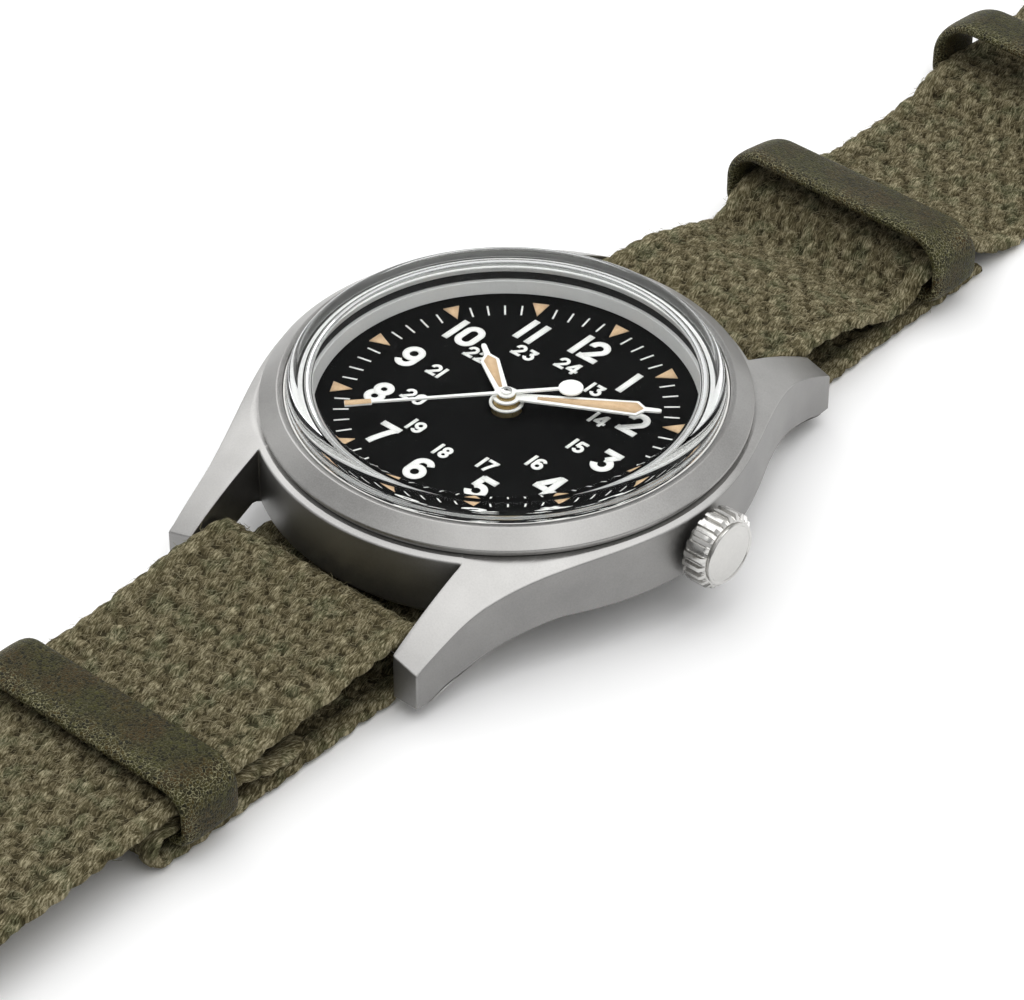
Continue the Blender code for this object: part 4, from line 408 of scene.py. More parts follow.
def settle(name, mesh, material, body, nodes=(), weighted=True):
    """Makes a mesh a piece with its material and body, and hides the nodes that it stands for."""
    mesh.materials.clear()
    mesh.materials.append(material)
    mesh.shade_smooth()
    obj = put(name, mesh)
    if weighted:
        mesh.set_sharp_from_angle(angle=radians(SHARP_ANGLE))
        even = obj.modifiers.new("even_shading", "WEIGHTED_NORMAL")
        even.keep_sharp = True
    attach(obj, body)
    if nodes:
        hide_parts(*nodes)
    return obj


# Case, bezel, crystal and dial

def ball_top(radius):
    """Height of the turned top of case and lugs."""
    if radius <= FLAT_RADIUS:
        return FLAT_Z
    tip = hypot(LUG_OUTER_X, LUG_TIP_Y)
    middle = (FLAT_RADIUS ** 2 + FLAT_Z ** 2 - tip ** 2 - LUG_TIP_Z ** 2) / (2 * (FLAT_Z - LUG_TIP_Z))
    return middle + sqrt(FLAT_RADIUS ** 2 + (FLAT_Z - middle) ** 2 - radius ** 2)


def underside(radius):
    """Height of the case's lower face."""
    return float(np.interp(radius, *zip(*UNDERSIDE)))


def case_outline():
    """The case from above, with each point's angle on the round barrel that it grows out of."""
    start, ends = (CASE_RADIUS, 0), (LUG_OUTER_X, LUG_TIP_Y)
    handles = (CASE_RADIUS, LUG_CURVE), (LUG_OUTER_X, LUG_TIP_Y - LUG_CURVE)
    shares = [i / 32 for i in range(33)]
    side = [tuple(start[k] * (1 - t) ** 3 + handles[0][k] * 3 * t * (1 - t) ** 2
                  + handles[1][k] * 3 * t * t * (1 - t) + ends[k] * t ** 3 for k in (0, 1))
            for t in shares]
    foot_angle = acos(LUG_INNER_X / CASE_RADIUS)
    foot = (LUG_INNER_X, CASE_RADIUS * sin(foot_angle))
    face = [(LUG_INNER_X, LUG_TIP_Y + (foot[1] - LUG_TIP_Y) * i / 9) for i in range(9)]
    wall = arc((0, 0), CASE_RADIUS, foot_angle * 180 / pi, 90, 20)
    quarter = eased(side + face + wall, 0.16, closed=False)
    runs = np.r_[0, np.cumsum(np.hypot(*np.diff(np.array(quarter), axis=0).T))]
    gaps = [hypot(x - foot[0], y - foot[1]) for x, y in quarter]
    nearest = gaps.index(min(gaps))
    angles = []
    for i, (x, y) in enumerate(quarter):
        angles.append(foot_angle * runs[i] / runs[nearest] if i <= nearest else atan2(y, x))
    marked = list(zip(quarter, angles))
    upper = marked + [((-x, y), pi - a) for (x, y), a in reversed(marked[:-1])]
    return upper + [((x, -y), -a) for (x, y), a in reversed(upper[1:-1])]


def inset(outline, size):
    """The outline moved inwards by that much, square to its sides."""
    line = np.array(outline)
    sides = np.roll(line, -1, 0) - line
    sides /= np.linalg.norm(sides, axis=1)[:, None]
    normals = np.c_[-sides[:, 1], sides[:, 0]]
    mean = normals + np.roll(normals, 1, 0)
    mean /= np.maximum((mean * normals).sum(1), 0.4)[:, None]
    return line + mean * size


def build_case():
    """The middle case and lugs, skinned from the bore over the top and flanks to the underside."""
    marked = case_outline()
    outline, angles = [p for p, _ in marked], [a for _, a in marked]

    def circle(radius, z):
        return [(radius * cos(a), radius * sin(a), z) for a in angles]

    def contour(gap, level, drop):
        return [(x, y, level(hypot(x, y)) + drop) for x, y in inset(outline, gap)]

    inner = inset(outline, CASE_EDGE)
    rings = [circle(BORE_RADIUS, FLAT_Z), circle(FLAT_RADIUS, FLAT_Z)]
    for i in range(1, 10):
        plan = [(FLAT_RADIUS * cos(a) * (1 - i / 10) + x * i / 10,
                 FLAT_RADIUS * sin(a) * (1 - i / 10) + y * i / 10) for (x, y), a in zip(inner, angles)]
        rings.append([(x, y, ball_top(hypot(x, y))) for x, y in plan])
    rounding = (CASE_EDGE, 0), (EDGE_STEP, EDGE_STEP), (0, CASE_EDGE)
    rings += [contour(gap, ball_top, -drop) for gap, drop in rounding]
    rings += [contour(gap, underside, drop) for gap, drop in reversed(rounding)]
    least = UNDERSIDE[0][0]
    for radius, _ in UNDERSIDE[-2::-1]:
        ring = []
        for (x, y), a in zip(inner, angles):
            reach = hypot(x, y)
            if reach > radius:
                t = (reach - radius) / (reach - least)
                x, y = x * (1 - t) + least * cos(a) * t, y * (1 - t) + least * sin(a) * t
            ring.append((x, y, underside(hypot(x, y))))
        rings.append(ring)
    rings += [circle(BACK_RADIUS, BACK_Z), circle(BACK_RADIUS, BACK_SEAT_Z)]
    rings += [circle(BORE_RADIUS, BACK_SEAT_Z), circle(BORE_RADIUS, FLAT_Z)]
    shell = loft(bmesh.new(), rings)
    body = piece("case_body", shell, BLASTED_STEEL, "case", ["mid_case"])
    # Faces steeper than FLANK_SLOPE take the darker flank steel: painted shade on the case's sides.
    body.data.materials.append(PAINTED_SHADE_FLANK_STEEL)
    for face in body.data.polygons:
        face.material_index = int(abs(face.normal.z) < FLANK_SLOPE)


def build_bezel_and_crystal():
    """The rings round the dial, each turned from its section of radius and height."""
    cone = [(16.59, 10.9), (17.04, 10.9), (18.4, 9.82), (18.4, 9.56), (18.17, 9.5), (18.17, 9.21),
            (15.65, 9.21), (15.65, 9.95), (16.59, 9.95)]
    piece("bezel_ring", turned(eased(cone, 0.07)), SATIN_STEEL, "case", ["bezel"])
    shoulder = arc((15.5, 11.2), 0.85, 0, 90, 16)
    hollow = arc((14.3, 10.05), 0.8, 90, 0, 12)
    foot = [(15.1, 10.0), (16.3, 10.0), (16.35, 10.05)]
    glass = [(0, 10.85)] + hollow + foot + shoulder + [(0, 12.05)]
    piece("box_crystal", turned(glass, 192), SAPPHIRE, "case", ["crystal"])
    seal = eased([(16.40, 10.0), (16.54, 10.0), (16.54, 10.8), (16.40, 10.8)], 0.04)
    piece("crystal_seal", turned(seal), NYLON, "case", ["crystal_gasket"])
    flange = [(14.4, 7.85), (14.72, 8.85), (15.2, 8.85), (15.2, 9.55), (14.95, 9.55), (14.95, 9.95),
              (15.45, 9.95), (15.45, 7.85)]
    flange = turned(eased(flange, 0.05))
    piece("flange_ring", flange, SILVERED_RING, "case", ["rehaut_ring"])
    # A black rubber ring in the flange's groove: a seal, and painted shade that darkens the gap above
    # the flange.
    groove = eased([(14.98, 8.87), (15.19, 8.87), (15.19, 9.53), (14.98, 9.53)], 0.05)
    piece("flange_groove_seal_and_shade", turned(groove), RUBBER, "case")
    disc = eased([(1.2, 7.4), (15.3, 7.4), (15.3, DIAL_Z), (1.2, DIAL_Z)], 0.04)
    piece("dial_disc", turned(disc), BLACK_LACQUER, "case", ["dial"])


# Dial printing

# The middles of a digit's lower and upper bowl.
LOW, HIGH = (0.335, 0.335), (0.335, 0.665)
SIX = [arc(LOW, 0.23, 0, 360, 33), [(0.105, 0.335), (0.105, 0.6)] + arc(HIGH, 0.23, 180, 25, 16)]
# Each digit as strokes along their middles, one unit high; one that ends where it starts is a ring.
DIGITS = {
    "0": [arc(HIGH, 0.23, 0, 180, 17) + arc(LOW, 0.23, 180, 360, 17) + [(0.565, 0.665)]],
    "1": [[(0.105, 0), (0.105, 1)]],
    "2": [arc(HIGH, 0.23, 190, -30, 18) + [(0.17, 0.15)], [(0.01, 0.105), (0.665, 0.105)]],
    "3": [[(0.04, 0.895), (0.6, 0.895)], [(0.53, 0.87), (0.3, 0.54)], arc(LOW, 0.23, 105, -165, 22)],
    "4": [[(0.5, 0), (0.5, 1)], [(0, 0.3), (0.74, 0.3)], [(0.45, 0.93), (0.09, 0.33)]],
    "5": [[(0.12, 0.895), (0.61, 0.895)], [(0.165, 0.95), (0.14, 0.47)], arc(LOW, 0.23, 145, -160, 24)],
    "6": SIX,
    "7": [[(0, 0.895), (0.665, 0.895)],
          [(0.57, 0.88), (0.47, 0.7), (0.37, 0.45), (0.29, 0.2), (0.25, 0)]],
    "8": [arc((0.335, 0.7), 0.195, 0, 360, 33), arc((0.335, 0.31), 0.205, 0, 360, 33)],
    "9": [[(DIGIT_WIDTH - x, 1 - y) for x, y in stroke] for stroke in SIX],
}


def draw_stroke(bm, line, width, z, height):
    """A flat printed stroke along a line, square at its ends."""
    line = np.array(line)
    ring = np.linalg.norm(line[0] - line[-1]) < 1e-6
    ahead = np.diff(line, axis=0)
    ahead /= np.linalg.norm(ahead, axis=1)[:, None]
    first, last = (ahead[-1:], ahead[:1]) if ring else (ahead[:1], ahead[-1:])
    before, after = np.r_[first, ahead], np.r_[ahead, last]
    mean = before + after
    mean /= np.maximum((mean * before).sum(1), 0.5)[:, None]
    across = np.c_[-mean[:, 1], mean[:, 0]] * width / 2
    known = set(bm.faces)
    loft(bm, [[(*p + a, z), (*p - a, z)] for p, a in zip(line, across)], closed=False)
    thicken(bm, [f for f in bm.faces if f not in known], height)


def digit_mesh(digit):
    """One digit a unit high, each later stroke a little lower so that no two tops coincide."""
    bm = bmesh.new()
    for i, stroke in enumerate(DIGITS[digit]):
        draw_stroke(bm, stroke, STROKE, 0, 1 - 0.04 * i)
    return as_mesh(bm, "digit")


def print_numeral(bm, shapes, text, centre, height):
    """One upright numeral, its digits centred together."""
    gap = ONES_GAP if text == "11" else DIGIT_GAP
    widths = [STROKE if c == "1" else DIGIT_WIDTH for c in text]
    left = -(sum(widths) + gap * (len(text) - 1)) / 2
    for digit, width in zip(text, widths):
        known = set(bm.verts)
        bm.from_mesh(shapes[digit])
        fresh = [v for v in bm.verts if v not in known]
        bmesh.ops.translate(bm, vec=(left, -0.5, 0), verts=fresh)
        bmesh.ops.scale(bm, vec=(height, height, PRINT_HEIGHT), verts=fresh)
        bmesh.ops.translate(bm, vec=(*centre, DIAL_Z), verts=fresh)
        left += width + gap


def dial_point(radius, hour):
    """The place on the dial at an hour."""
    return radius * sin(hour * pi / 6), radius * cos(hour * pi / 6)


def build_dial_print():
    """Hours, afternoon hours inside them, minute ticks, and a triangle at every fifth minute."""
    shapes = {digit: digit_mesh(digit) for digit in DIGITS}
    numerals, ticks, marks = bmesh.new(), bmesh.new(), bmesh.new()
    for hour in range(1, 13):
        print_numeral(numerals, shapes, str(hour), dial_point(NUMERAL_RADIUS, hour), NUMERAL_HEIGHT)
        print_numeral(numerals, shapes, str(hour + 12), dial_point(INNER_RADIUS, hour), INNER_HEIGHT)
    for minute in range(60):
        if minute % 5:
            tick = [dial_point(radius, minute / 5) for radius in (TICK_START, TICK_END)]
            draw_stroke(ticks, tick, TICK_WIDTH, DIAL_Z, PRINT_HEIGHT)
        else:
            blade(marks, TRIANGLE, DIAL_Z, TRIANGLE_HEIGHT, 6 * minute)
    for mesh in shapes.values():
        bpy.data.meshes.remove(mesh)
    piece("dial_numerals", numerals, WHITE_PAINT, "case", weighted=False)
    piece("minute_track", ticks, WHITE_PAINT, "case", weighted=False)
    piece("hour_triangles", marks, TAN_LUME, "case", weighted=False)


# Hands

# Body, angle, height, radii of hub and hole, then frame and paste as stations of a blade.
HANDS = {
    "hour": ("hours", HOUR_ANGLE, 8.30, (1.3, 1.05),
             [(0.9, 0.45), (5.26, 0.72), (6.05, 0.23), (7.2, 0.2), (7.4, 0.12)],
             [(1.82, 0.12), (5.26, 0.48), (5.89, 0.02)]),
    "minute": ("minutes", MINUTE_ANGLE, 8.85, (1.05, 0.75),
               [(0.7, 0.39), (9.8, 0.84), (10.37, 0.23), (11.42, 0.19), (11.6, 0.12)],
               [(2.33, 0.16), (9.7, 0.63), (10.26, 0.02)]),
    "seconds": ("seconds", SECONDS_ANGLE, 9.20, (0.66, 0.2),
                [(-4.6, 0.13), (0, 0.15), (10.0, 0.09), (10.06, 0.27), (12.0, 0.31), (12.06, 0.26)],
                [(10.07, 0.26), (12.0, 0.3), (12.05, 0.25)]),
}


def drum(radius, hole, z):
    """A low turned drum as high as a hand's hub."""
    top = z + HUB_HEIGHT
    return turned(eased([(hole, z), (radius, z), (radius, top), (hole, top)], 0.03), 48)


def build_hands():
    """White frames on their hubs, filled with paste; the seconds hand has a round weight and a tube."""
    for name, (body, angle, z, (radius, hole), frame_line, paste_line) in HANDS.items():
        metal, paste = bmesh.new(), bmesh.new()
        blade(metal, frame_line, z, BLADE_HEIGHT, angle)
        join(metal, drum(radius, hole, z))
        if name == "seconds":
            weight = drum(WEIGHT_RADIUS, 0, z)
            bmesh.ops.translate(weight, vec=(0, -WEIGHT_REACH, 0), verts=weight.verts)
            swing(weight, weight.verts, angle)
            join(metal, weight)
            tube = [(0, z + 0.1), (0.42, z + 0.1), (0.42, z + 0.3), (0.3, z + 0.36), (0, z + 0.36)]
            piece("seconds_hand_tube", turned(tube, 48), POLISHED_STEEL, body)
        blade(paste, paste_line, z + PASTE_LIFT, PASTE_HEIGHT, angle)
        piece(f"{name}_hand_frame", metal, WHITE_PAINT, body, [f"{name}_hand"])
        piece(f"{name}_hand_lume", paste, TAN_LUME, body, weighted=False)


# Crown

# Along its axis: place, radius in the grooves, radius on the ridges.
CROWN_RINGS = (
    (20.61, 0.02, 0.02), (20.61, 1.6, 1.6), (19.42, 1.6, 1.6), (19.35, 1.68, 1.68),
    (19.35, 2.5, 2.5), (19.4, 2.62, 2.78), (19.52, 2.66, 2.97), (19.6, 2.66, 3.0),
    (20.98, 2.66, 3.0), (21.06, 2.64, 2.96), (21.28, 2.54, 2.62), (21.31, 2.45, 2.47),
    (21.32, 2.36, 2.36), (21.4, 2.36, 2.36), (21.43, 2.42, 2.42), (21.47, 2.45, 2.45),
    (21.55, 2.45, 2.45), (21.59, 2.41, 2.41), (21.59, 2.26, 2.26), (21.54, 2.21, 2.21),
    (21.55, 2.12, 2.12), (21.59, 1.6, 1.6), (21.63, 0.8, 0.8), (21.65, 0.02, 0.02),
)
# Across one tooth: share of the pitch and share of the ridge's height.
TOOTH = ((0, 0.19, 0.26, 0.74, 0.81, 1), (1, 1, 0, 0, 1, 1))


def build_crown():
    """A fluted barrel with a bevelled collar and a plain, slightly domed face, lying along X."""
    count = CROWN_TEETH * TOOTH_STEPS
    turn = [2 * pi * i / count for i in range(count)]
    ridge = [float(np.interp((i % TOOTH_STEPS) / TOOTH_STEPS, *TOOTH)) for i in range(count)]
    rings = []
    for x, low, high in CROWN_RINGS:
        radii = [low + (high - low) * k for k in ridge]
        rings.append([(x, r * cos(a), r * sin(a)) for a, r in zip(turn, radii)])
    bm = loft(bmesh.new(), rings)
    bmesh.ops.holes_fill(bm, edges=[e for e in bm.edges if e.is_boundary], sides=0)
    bmesh.ops.translate(bm, vec=(0, 0, CROWN_Z), verts=bm.verts)
    piece("fluted_crown", bm, CROWN_STEEL, "crown", ["crown"])


# Strap

def between(before, start, end, after, share):
    """A point on the smooth curve from start to end, steered by its neighbours."""
    slope = (end - before) / 2
    bend = before - 2.5 * start + 2 * end - after / 2
    twist = (3 * start - before - 3 * end + after) / 2
    return start + share * slope + share ** 2 * bend + share ** 3 * twist


def smooth_route(corners, count=8):
    """A smooth line through corners of Y and Z."""
    ends = [corners[0], *corners, corners[-1]]
    made = [tuple(between(*(ends[i + j][k] for j in range(4)), n / count) for k in (0, 1))
            for i in range(len(corners) - 1) for n in range(count)]
    return made + [corners[-1]]


def lug_bend():
    """Over the spring bar, down its inner side and away under the case."""
    corner = (BAR_Y - BAR_WRAP - LUG_BEND, UNDER_CASE_Z + LUG_BEND)
    return arc((BAR_Y, BAR_Z), BAR_WRAP, 80, 180, 24) + arc(corner, LUG_BEND, 0, -90, 18)


def long_route():
    """From the sewn end round the buckle's pin, through the keepers, under the case and to the tip."""
    fold = [(74.5, LONG_LOW), (82, LONG_LOW)] + arc((85, 1.99), 1.36, -90, 90, 27)
    upper = smooth_route([
        (83.5, 3.25), (80, 2.5), (76, 2.0), (65.9, 2.0), (62.9, 1.03), (59.9, LONG_LOW),
        (53.3, LONG_LOW), (50.3, 1.03), (47.5, 2.24), (45.5, 3.6), (43.5, 4.25), (40.6, 4.3),
        (38.9, 3.75), (37.6, 2.7), (36.4, 2.2), (34.8, 2.45), (33.0, 3.15), (28.5, 4.66), (24.7, 5.16)])
    under = lug_bend() + [(-y, z) for y, z in reversed(lug_bend())]
    tail = smooth_route([(-25.5, 5.26), (-34.8, 4.47), (-47, 4.47), (-61, 4.32), (-79, 2.55),
                         (-97, LONG_LOW), (-TAIL_Y, LONG_LOW)])
    return [(y, max(z, LONG_LOW)) for y, z in fold + upper + under + tail]


def short_route():
    """Along the table, round the lower bar of the keeper at 6 o'clock and back to where it is sewn."""
    return [(46.9, CLOTH_HALF)] + arc((-45.6, 1.855), 1.265, 270, 90, 27) + smooth_route(
        [(-39.2, 3.12), (-37.2, 2.67), (-34.8, 1.92), (-31.8, 1.92)])


def laid(corners, step=0.1, ease=4):
    """Even marks along a route in side view: distance, place, and the way its face looks."""
    corners = np.array(corners)
    runs = np.r_[0, np.cumsum(np.hypot(*np.diff(corners, axis=0).T))]
    marks = np.arange(0, runs[-1] + step / 2, step)
    line = np.c_[np.interp(marks, runs, corners[:, 0]), np.interp(marks, runs, corners[:, 1])]
    wide = np.pad(line, ((ease, ease), (0, 0)), mode="reflect", reflect_type="odd")
    line = np.mean([wide[i:i + len(line)] for i in range(2 * ease + 1)], axis=0)
    ahead = np.gradient(line, axis=0)
    ahead /= np.linalg.norm(ahead, axis=1)[:, None]
    return {"run": marks, "y": line[:, 0], "z": line[:, 1], "ny": ahead[:, 1], "nz": -ahead[:, 0]}


def wander(marks, size, every):
    """Slow, seeded unevenness along a yarn."""
    knots = np.arange(marks[0] - every, marks[-1] + 2 * every, every)
    return np.interp(marks, knots, CHANCE.normal(0, size, len(knots)))


def tubes(lines, sides):
    """Tubes along lines of (x, run, height, half width), flattened to the yarn's oval, as one mesh."""
    curve = bpy.data.curves.new("yarns", "CURVE")
    curve.dimensions, curve.fill_mode, curve.use_fill_caps = "3D", "FULL", True
    curve.bevel_depth, curve.bevel_resolution = 1.0, (sides - 4) // 2
    for line in lines:
        spline = curve.splines.new("POLY")
        spline.points.add(len(line) - 1)
        round_line = np.c_[line[:, 0], line[:, 1], line[:, 2] / SQUEEZE, np.ones(len(line))]
        spline.points.foreach_set("co", round_line.ravel())
        spline.points.foreach_set("radius", np.ascontiguousarray(line[:, 3]))
    obj = put("yarns", curve)
    bpy.context.view_layer.update()
    mesh = bpy.data.meshes.new_from_object(obj.evaluated_get(bpy.context.evaluated_depsgraph_get()))
    bpy.data.objects.remove(obj)
    bpy.data.curves.remove(curve)
    mesh.transform(Matrix.Diagonal((1, 1, SQUEEZE, 1)))
    return mesh


def lay(mesh, route, rough=0.0):
    """Keeps a flat mesh's place on the cloth as its UV map, then bends it along the strap's route.

    The bend mirrors the mesh, so its faces are turned round to point outwards again.
    """
    mesh.flip_normals()
    place = np.empty(len(mesh.vertices) * 3)
    mesh.vertices.foreach_get("co", place)
    place = place.reshape(-1, 3) + CHANCE.normal(0, rough, (len(mesh.vertices), 3))
    least, most = (-STRAP_WIDTH / 2, -1, -CLOTH_HALF), (STRAP_WIDTH / 2, 1e3, CLOTH_TOP)
    x, run, height = np.clip(place, least, most).T
    corners = np.empty(len(mesh.loops), int)
    mesh.loops.foreach_get("vertex_index", corners)
    while mesh.uv_layers:
        mesh.uv_layers.remove(mesh.uv_layers[0])
    flat = mesh.uv_layers.new(name="strap")
    flat.data.foreach_set("uv", np.c_[x, run][corners].ravel())
    y, z, ny, nz = (np.interp(run, route["run"], route[key]) for key in ("y", "z", "ny", "nz"))
    z = np.maximum(z + height * nz, TABLE_GAP)
    mesh.vertices.foreach_set("co", (np.c_[x, y + height * ny, z] * MM).ravel())
    mesh.update()
    return mesh


def field_yarn(index, start, end, openings):
    """One warp yarn: over and under the wefts, plump where it shows, pushed aside by openings."""
    run = np.arange(start, end, WEFT_PITCH / 5)
    middle = (index - (FIELD_YARNS - 1) / 2) * WARP_PITCH
    phase = pi * (run + wander(run, 0.03, 3.0)) / WEFT_PITCH + pi * index
    rise = np.cos(phase)
    x = middle + YARN_SLANT * np.sin(phase) + wander(run, 0.025, 1.9)
    for low, high, wide in openings:
        if wide < abs(middle) < wide + YARN_HALF_WIDTH:
            marks = (low - SPREAD_RUN, low, high, high + SPREAD_RUN)
            x += np.sign(middle) * np.interp(run, marks, (0, SPREAD, SPREAD, 0))
    height = YARN_WAVE * np.sin(rise * pi / 2) + wander(run, 0.015, 1.3)
    width = YARN_HALF_WIDTH * (0.88 + 0.12 * rise) * (1 + wander(run, 0.04, 1.3))
    return np.c_[x, run, height, width]


def weft_yarn(row, left, right):
    """One weft yarn across the cloth, filling the places where the warp dives."""
    x = np.arange(left, right, WARP_PITCH / 4)
    phase = pi * (x / WARP_PITCH + (FIELD_YARNS - 1) / 2) + pi * row
    rise = -np.cos(phase)
    run = row * WEFT_PITCH + WEFT_SLANT * np.sin(phase) + wander(x, 0.03, 1.7)
    height = WEFT_WAVE * np.sin(rise * pi / 2) + wander(x, 0.02, 1.1)
    width = WEFT_HALF_WIDTH * (0.88 + 0.12 * rise) * (1 + wander(x, 0.06, 1.1))
    return np.c_[x, run, height, width]


def edge_cord(side, strand, start, end):
    """One of the strands twisted into the flat cord along an edge."""
    run = np.arange(start, end, EDGE_CORD_LAY / 18)
    turn = side * 2 * pi * (run + wander(run, 0.12, 4.0)) / EDGE_CORD_LAY
    turn += 2 * pi * strand / EDGE_STRANDS
    x = side * EDGE_CORD_X + EDGE_HELIX * np.cos(turn) + wander(run, 0.06, 1.7)
    height = 0.7 * EDGE_HELIX * SQUEEZE * np.sin(turn) + wander(run, 0.03, 1.7)
    return np.c_[x, run, height, EDGE_STRAND * (1 + wander(run, 0.07, 1.1))]


def ribbon(length, openings, end_at):
    """The closed thin middle of the cloth, with its openings and its shaped end."""
    bm = bmesh.new()
    rows = int(length / 0.7)
    bmesh.ops.create_grid(bm, x_segments=16, y_segments=rows, size=0.5)
    bmesh.ops.scale(bm, vec=(2 * CORE_HALF_WIDTH, length, 1), verts=bm.verts)
    bmesh.ops.translate(bm, vec=(0, length / 2, 0), verts=bm.verts)
    gone = []
    for face in bm.faces:
        x, run, _ = face.calc_center_median()
        if any(abs(x) < wide and low < run < high for low, high, wide in openings):
            gone.append(face)
    bmesh.ops.delete(bm, geom=gone, context="FACES")
    for vert in bm.verts:
        vert.co.y = min(vert.co.y, end_at(vert.co.x))
    bmesh.ops.remove_doubles(bm, verts=bm.verts, dist=1e-3)
    bmesh.ops.recalc_face_normals(bm, faces=bm.faces)
    bmesh.ops.solidify(bm, geom=bm.faces[:], thickness=CORE_THICKNESS)
    low = min(v.co.z for v in bm.verts)
    bmesh.ops.translate(bm, vec=(0, 0, -low - CORE_THICKNESS / 2), verts=bm.verts)
    return as_mesh(bm, "ribbon")


def weave(name, corners, groups, hairs, openings=(), eyelets=(), tip=None):
    """A strap: ribbon inside, groups of warp and weft, edge cords, bound ends and eyelets, fibres."""
    route = laid(corners)
    length = float(route["run"][-1])

    def end_at(x):
        return length - 0.2 if tip is None else length - tip + sqrt(max(tip ** 2 - x * x, 0))

    def bare(x, run):
        return run > end_at(x) - 0.6 or any(
            low - 0.5 < run < high + 0.5 and abs(x) < wide + 0.5 for low, high, wide in openings)

    def cloth(part, mesh, material):
        settle(f"{name}_{part}", mesh, material, "case", weighted=False)

    def spun(lines):
        return lay(tubes(lines, YARN_SIDES), route, YARN_ROUGH)

    ground = lay(ribbon(length, openings, end_at), route)
    # The ribbon shows only through the gaps between yarns; its dark cotton is painted shade there.
    core = settle(f"{name}_core", ground, CANVAS_CORE_PAINTED_SHADE, "case", [name], weighted=False)
    for group in range(groups):
        lines = []
        for index in range(FIELD_YARNS * group // groups, FIELD_YARNS * (group + 1) // groups):
            x = (index - (FIELD_YARNS - 1) / 2) * WARP_PITCH
            start = 0.15
            for low, high, wide in sorted(openings):
                if abs(x) < wide:
                    lines.append(field_yarn(index, start, low, openings))
                    start = high
            lines.append(field_yarn(index, start, end_at(x), openings))
        cloth(f"yarns_{group + 1}", spun(lines), CANVAS)
    wefts = []
    for row in range(1, int((length - 0.9) / WEFT_PITCH)):
        run, reach = row * WEFT_PITCH, WEFT_REACH
        while end_at(reach) < run + 0.8:
            reach -= 0.1
        gap = max((wide for low, high, wide in openings if low - 0.4 < run < high + 0.4), default=None)
        spans = [(-reach, reach)] if gap is None else [(-reach, -gap - 0.6), (gap + 0.6, reach)]
        wefts += [weft_yarn(row, *span) for span in spans]
    for group in range(groups):
        lines = wefts[len(wefts) * group // groups:len(wefts) * (group + 1) // groups]
        # The wefts take the darker cotton: painted shade between the warps.
        cloth(f"wefts_{group + 1}", spun(lines), CANVAS_WEFT_PAINTED_SHADE)
    end = end_at(EDGE_CORD_X)
    cords = [edge_cord(side, strand, 0.1, end) for side in (1, -1) for strand in range(EDGE_STRANDS)]
    cloth("edge_cords", spun(cords), CANVAS)
    across = np.linspace(-BINDING_REACH, BINDING_REACH, 40)
    thick = np.full(40, BINDING_HALF)
    bound = [np.c_[across, np.full(40, 0.3), np.zeros(40), thick],
             np.c_[across, [end_at(x) - 0.3 for x in across], np.zeros(40), thick]]
    turn = np.linspace(0, 2 * pi, 25)
    aside, ahead = EYELET_RADIUS * np.cos(turn), EYELET_RADIUS * np.sin(turn)
    bound += [np.c_[aside, run + ahead, np.full(25, side * EYELET_LIFT), np.full(25, EYELET_HALF)]
              for run in eyelets for side in (1, -1)]
    cloth("bindings", lay(tubes(bound, YARN_SIDES), route), CANVAS)
    bounds = np.linspace(0.3, length - 0.3, groups + 1)
    for group in range(groups):
        fibres = fuzz(hairs, bounds[group], bounds[group + 1], bare)
        # The fibres take the paler cotton: painted highlight.
        cloth(f"fuzz_{group + 1}", lay(tubes(fibres, 4), route), CANVAS_FUZZ_PAINTED_HIGHLIGHT)


def fuzz(count, low, high, bare):
    """Loose fibres: most lie along the yarns' twist, some stand out of the cloth's face and edges."""
    share = np.linspace(0, 1, 3)
    hairs = []
    for _ in range(count):
        x, run = CHANCE.uniform(-9.7, 9.7), CHANCE.uniform(low, high)
        stands = CHANCE.random() < STANDING_SHARE
        side = 1 if CHANCE.random() < FACE_SHARE else -1
        heading = CHANCE.uniform(0, 2 * pi) if stands else CHANCE.normal(radians(HAIR_HEADING), 0.32)
        length, curl = CHANCE.uniform(0.35, 1.0), CHANCE.normal(0, 0.7)
        rise = CHANCE.uniform(0.2, 0.7) * length if stands else CHANCE.uniform(-0.06, 0.05)
        start = CHANCE.uniform(0.42, 0.52) if abs(x) < 9.2 else CHANCE.uniform(0.1, 0.3)
        if bare(x, run):
            continue
        bend = heading + curl * share
        reach = length * share
        height = side * (start + rise * share + 0.05 * np.sin(pi * share))
        hairs.append(np.c_[x + reach * np.cos(bend), run + reach * np.sin(bend), height,
                           HAIR_HALF - HAIR_TAPER * share])
    return hairs


def build_straps():
    """The long strap with its tongue slot, holes and round tip, and the short one under the case."""
    tail = long_route()
    length = float(laid(tail)["run"][-1])
    holes = [length - (TAIL_Y - FIRST_HOLE_Y - HOLE_PITCH * i) for i in range(HOLE_COUNT)]
    openings = [TONGUE_SLOT]
    openings += [(run - HOLE_HALF_LENGTH, run + HOLE_HALF_LENGTH, HOLE_HALF_WIDTH) for run in holes]
    weave("long_strap", tail, 3, LONG_HAIRS, openings, holes, TIP_RADIUS)
    weave("short_strap", short_route(), 1, SHORT_HAIRS)


# Leather keepers

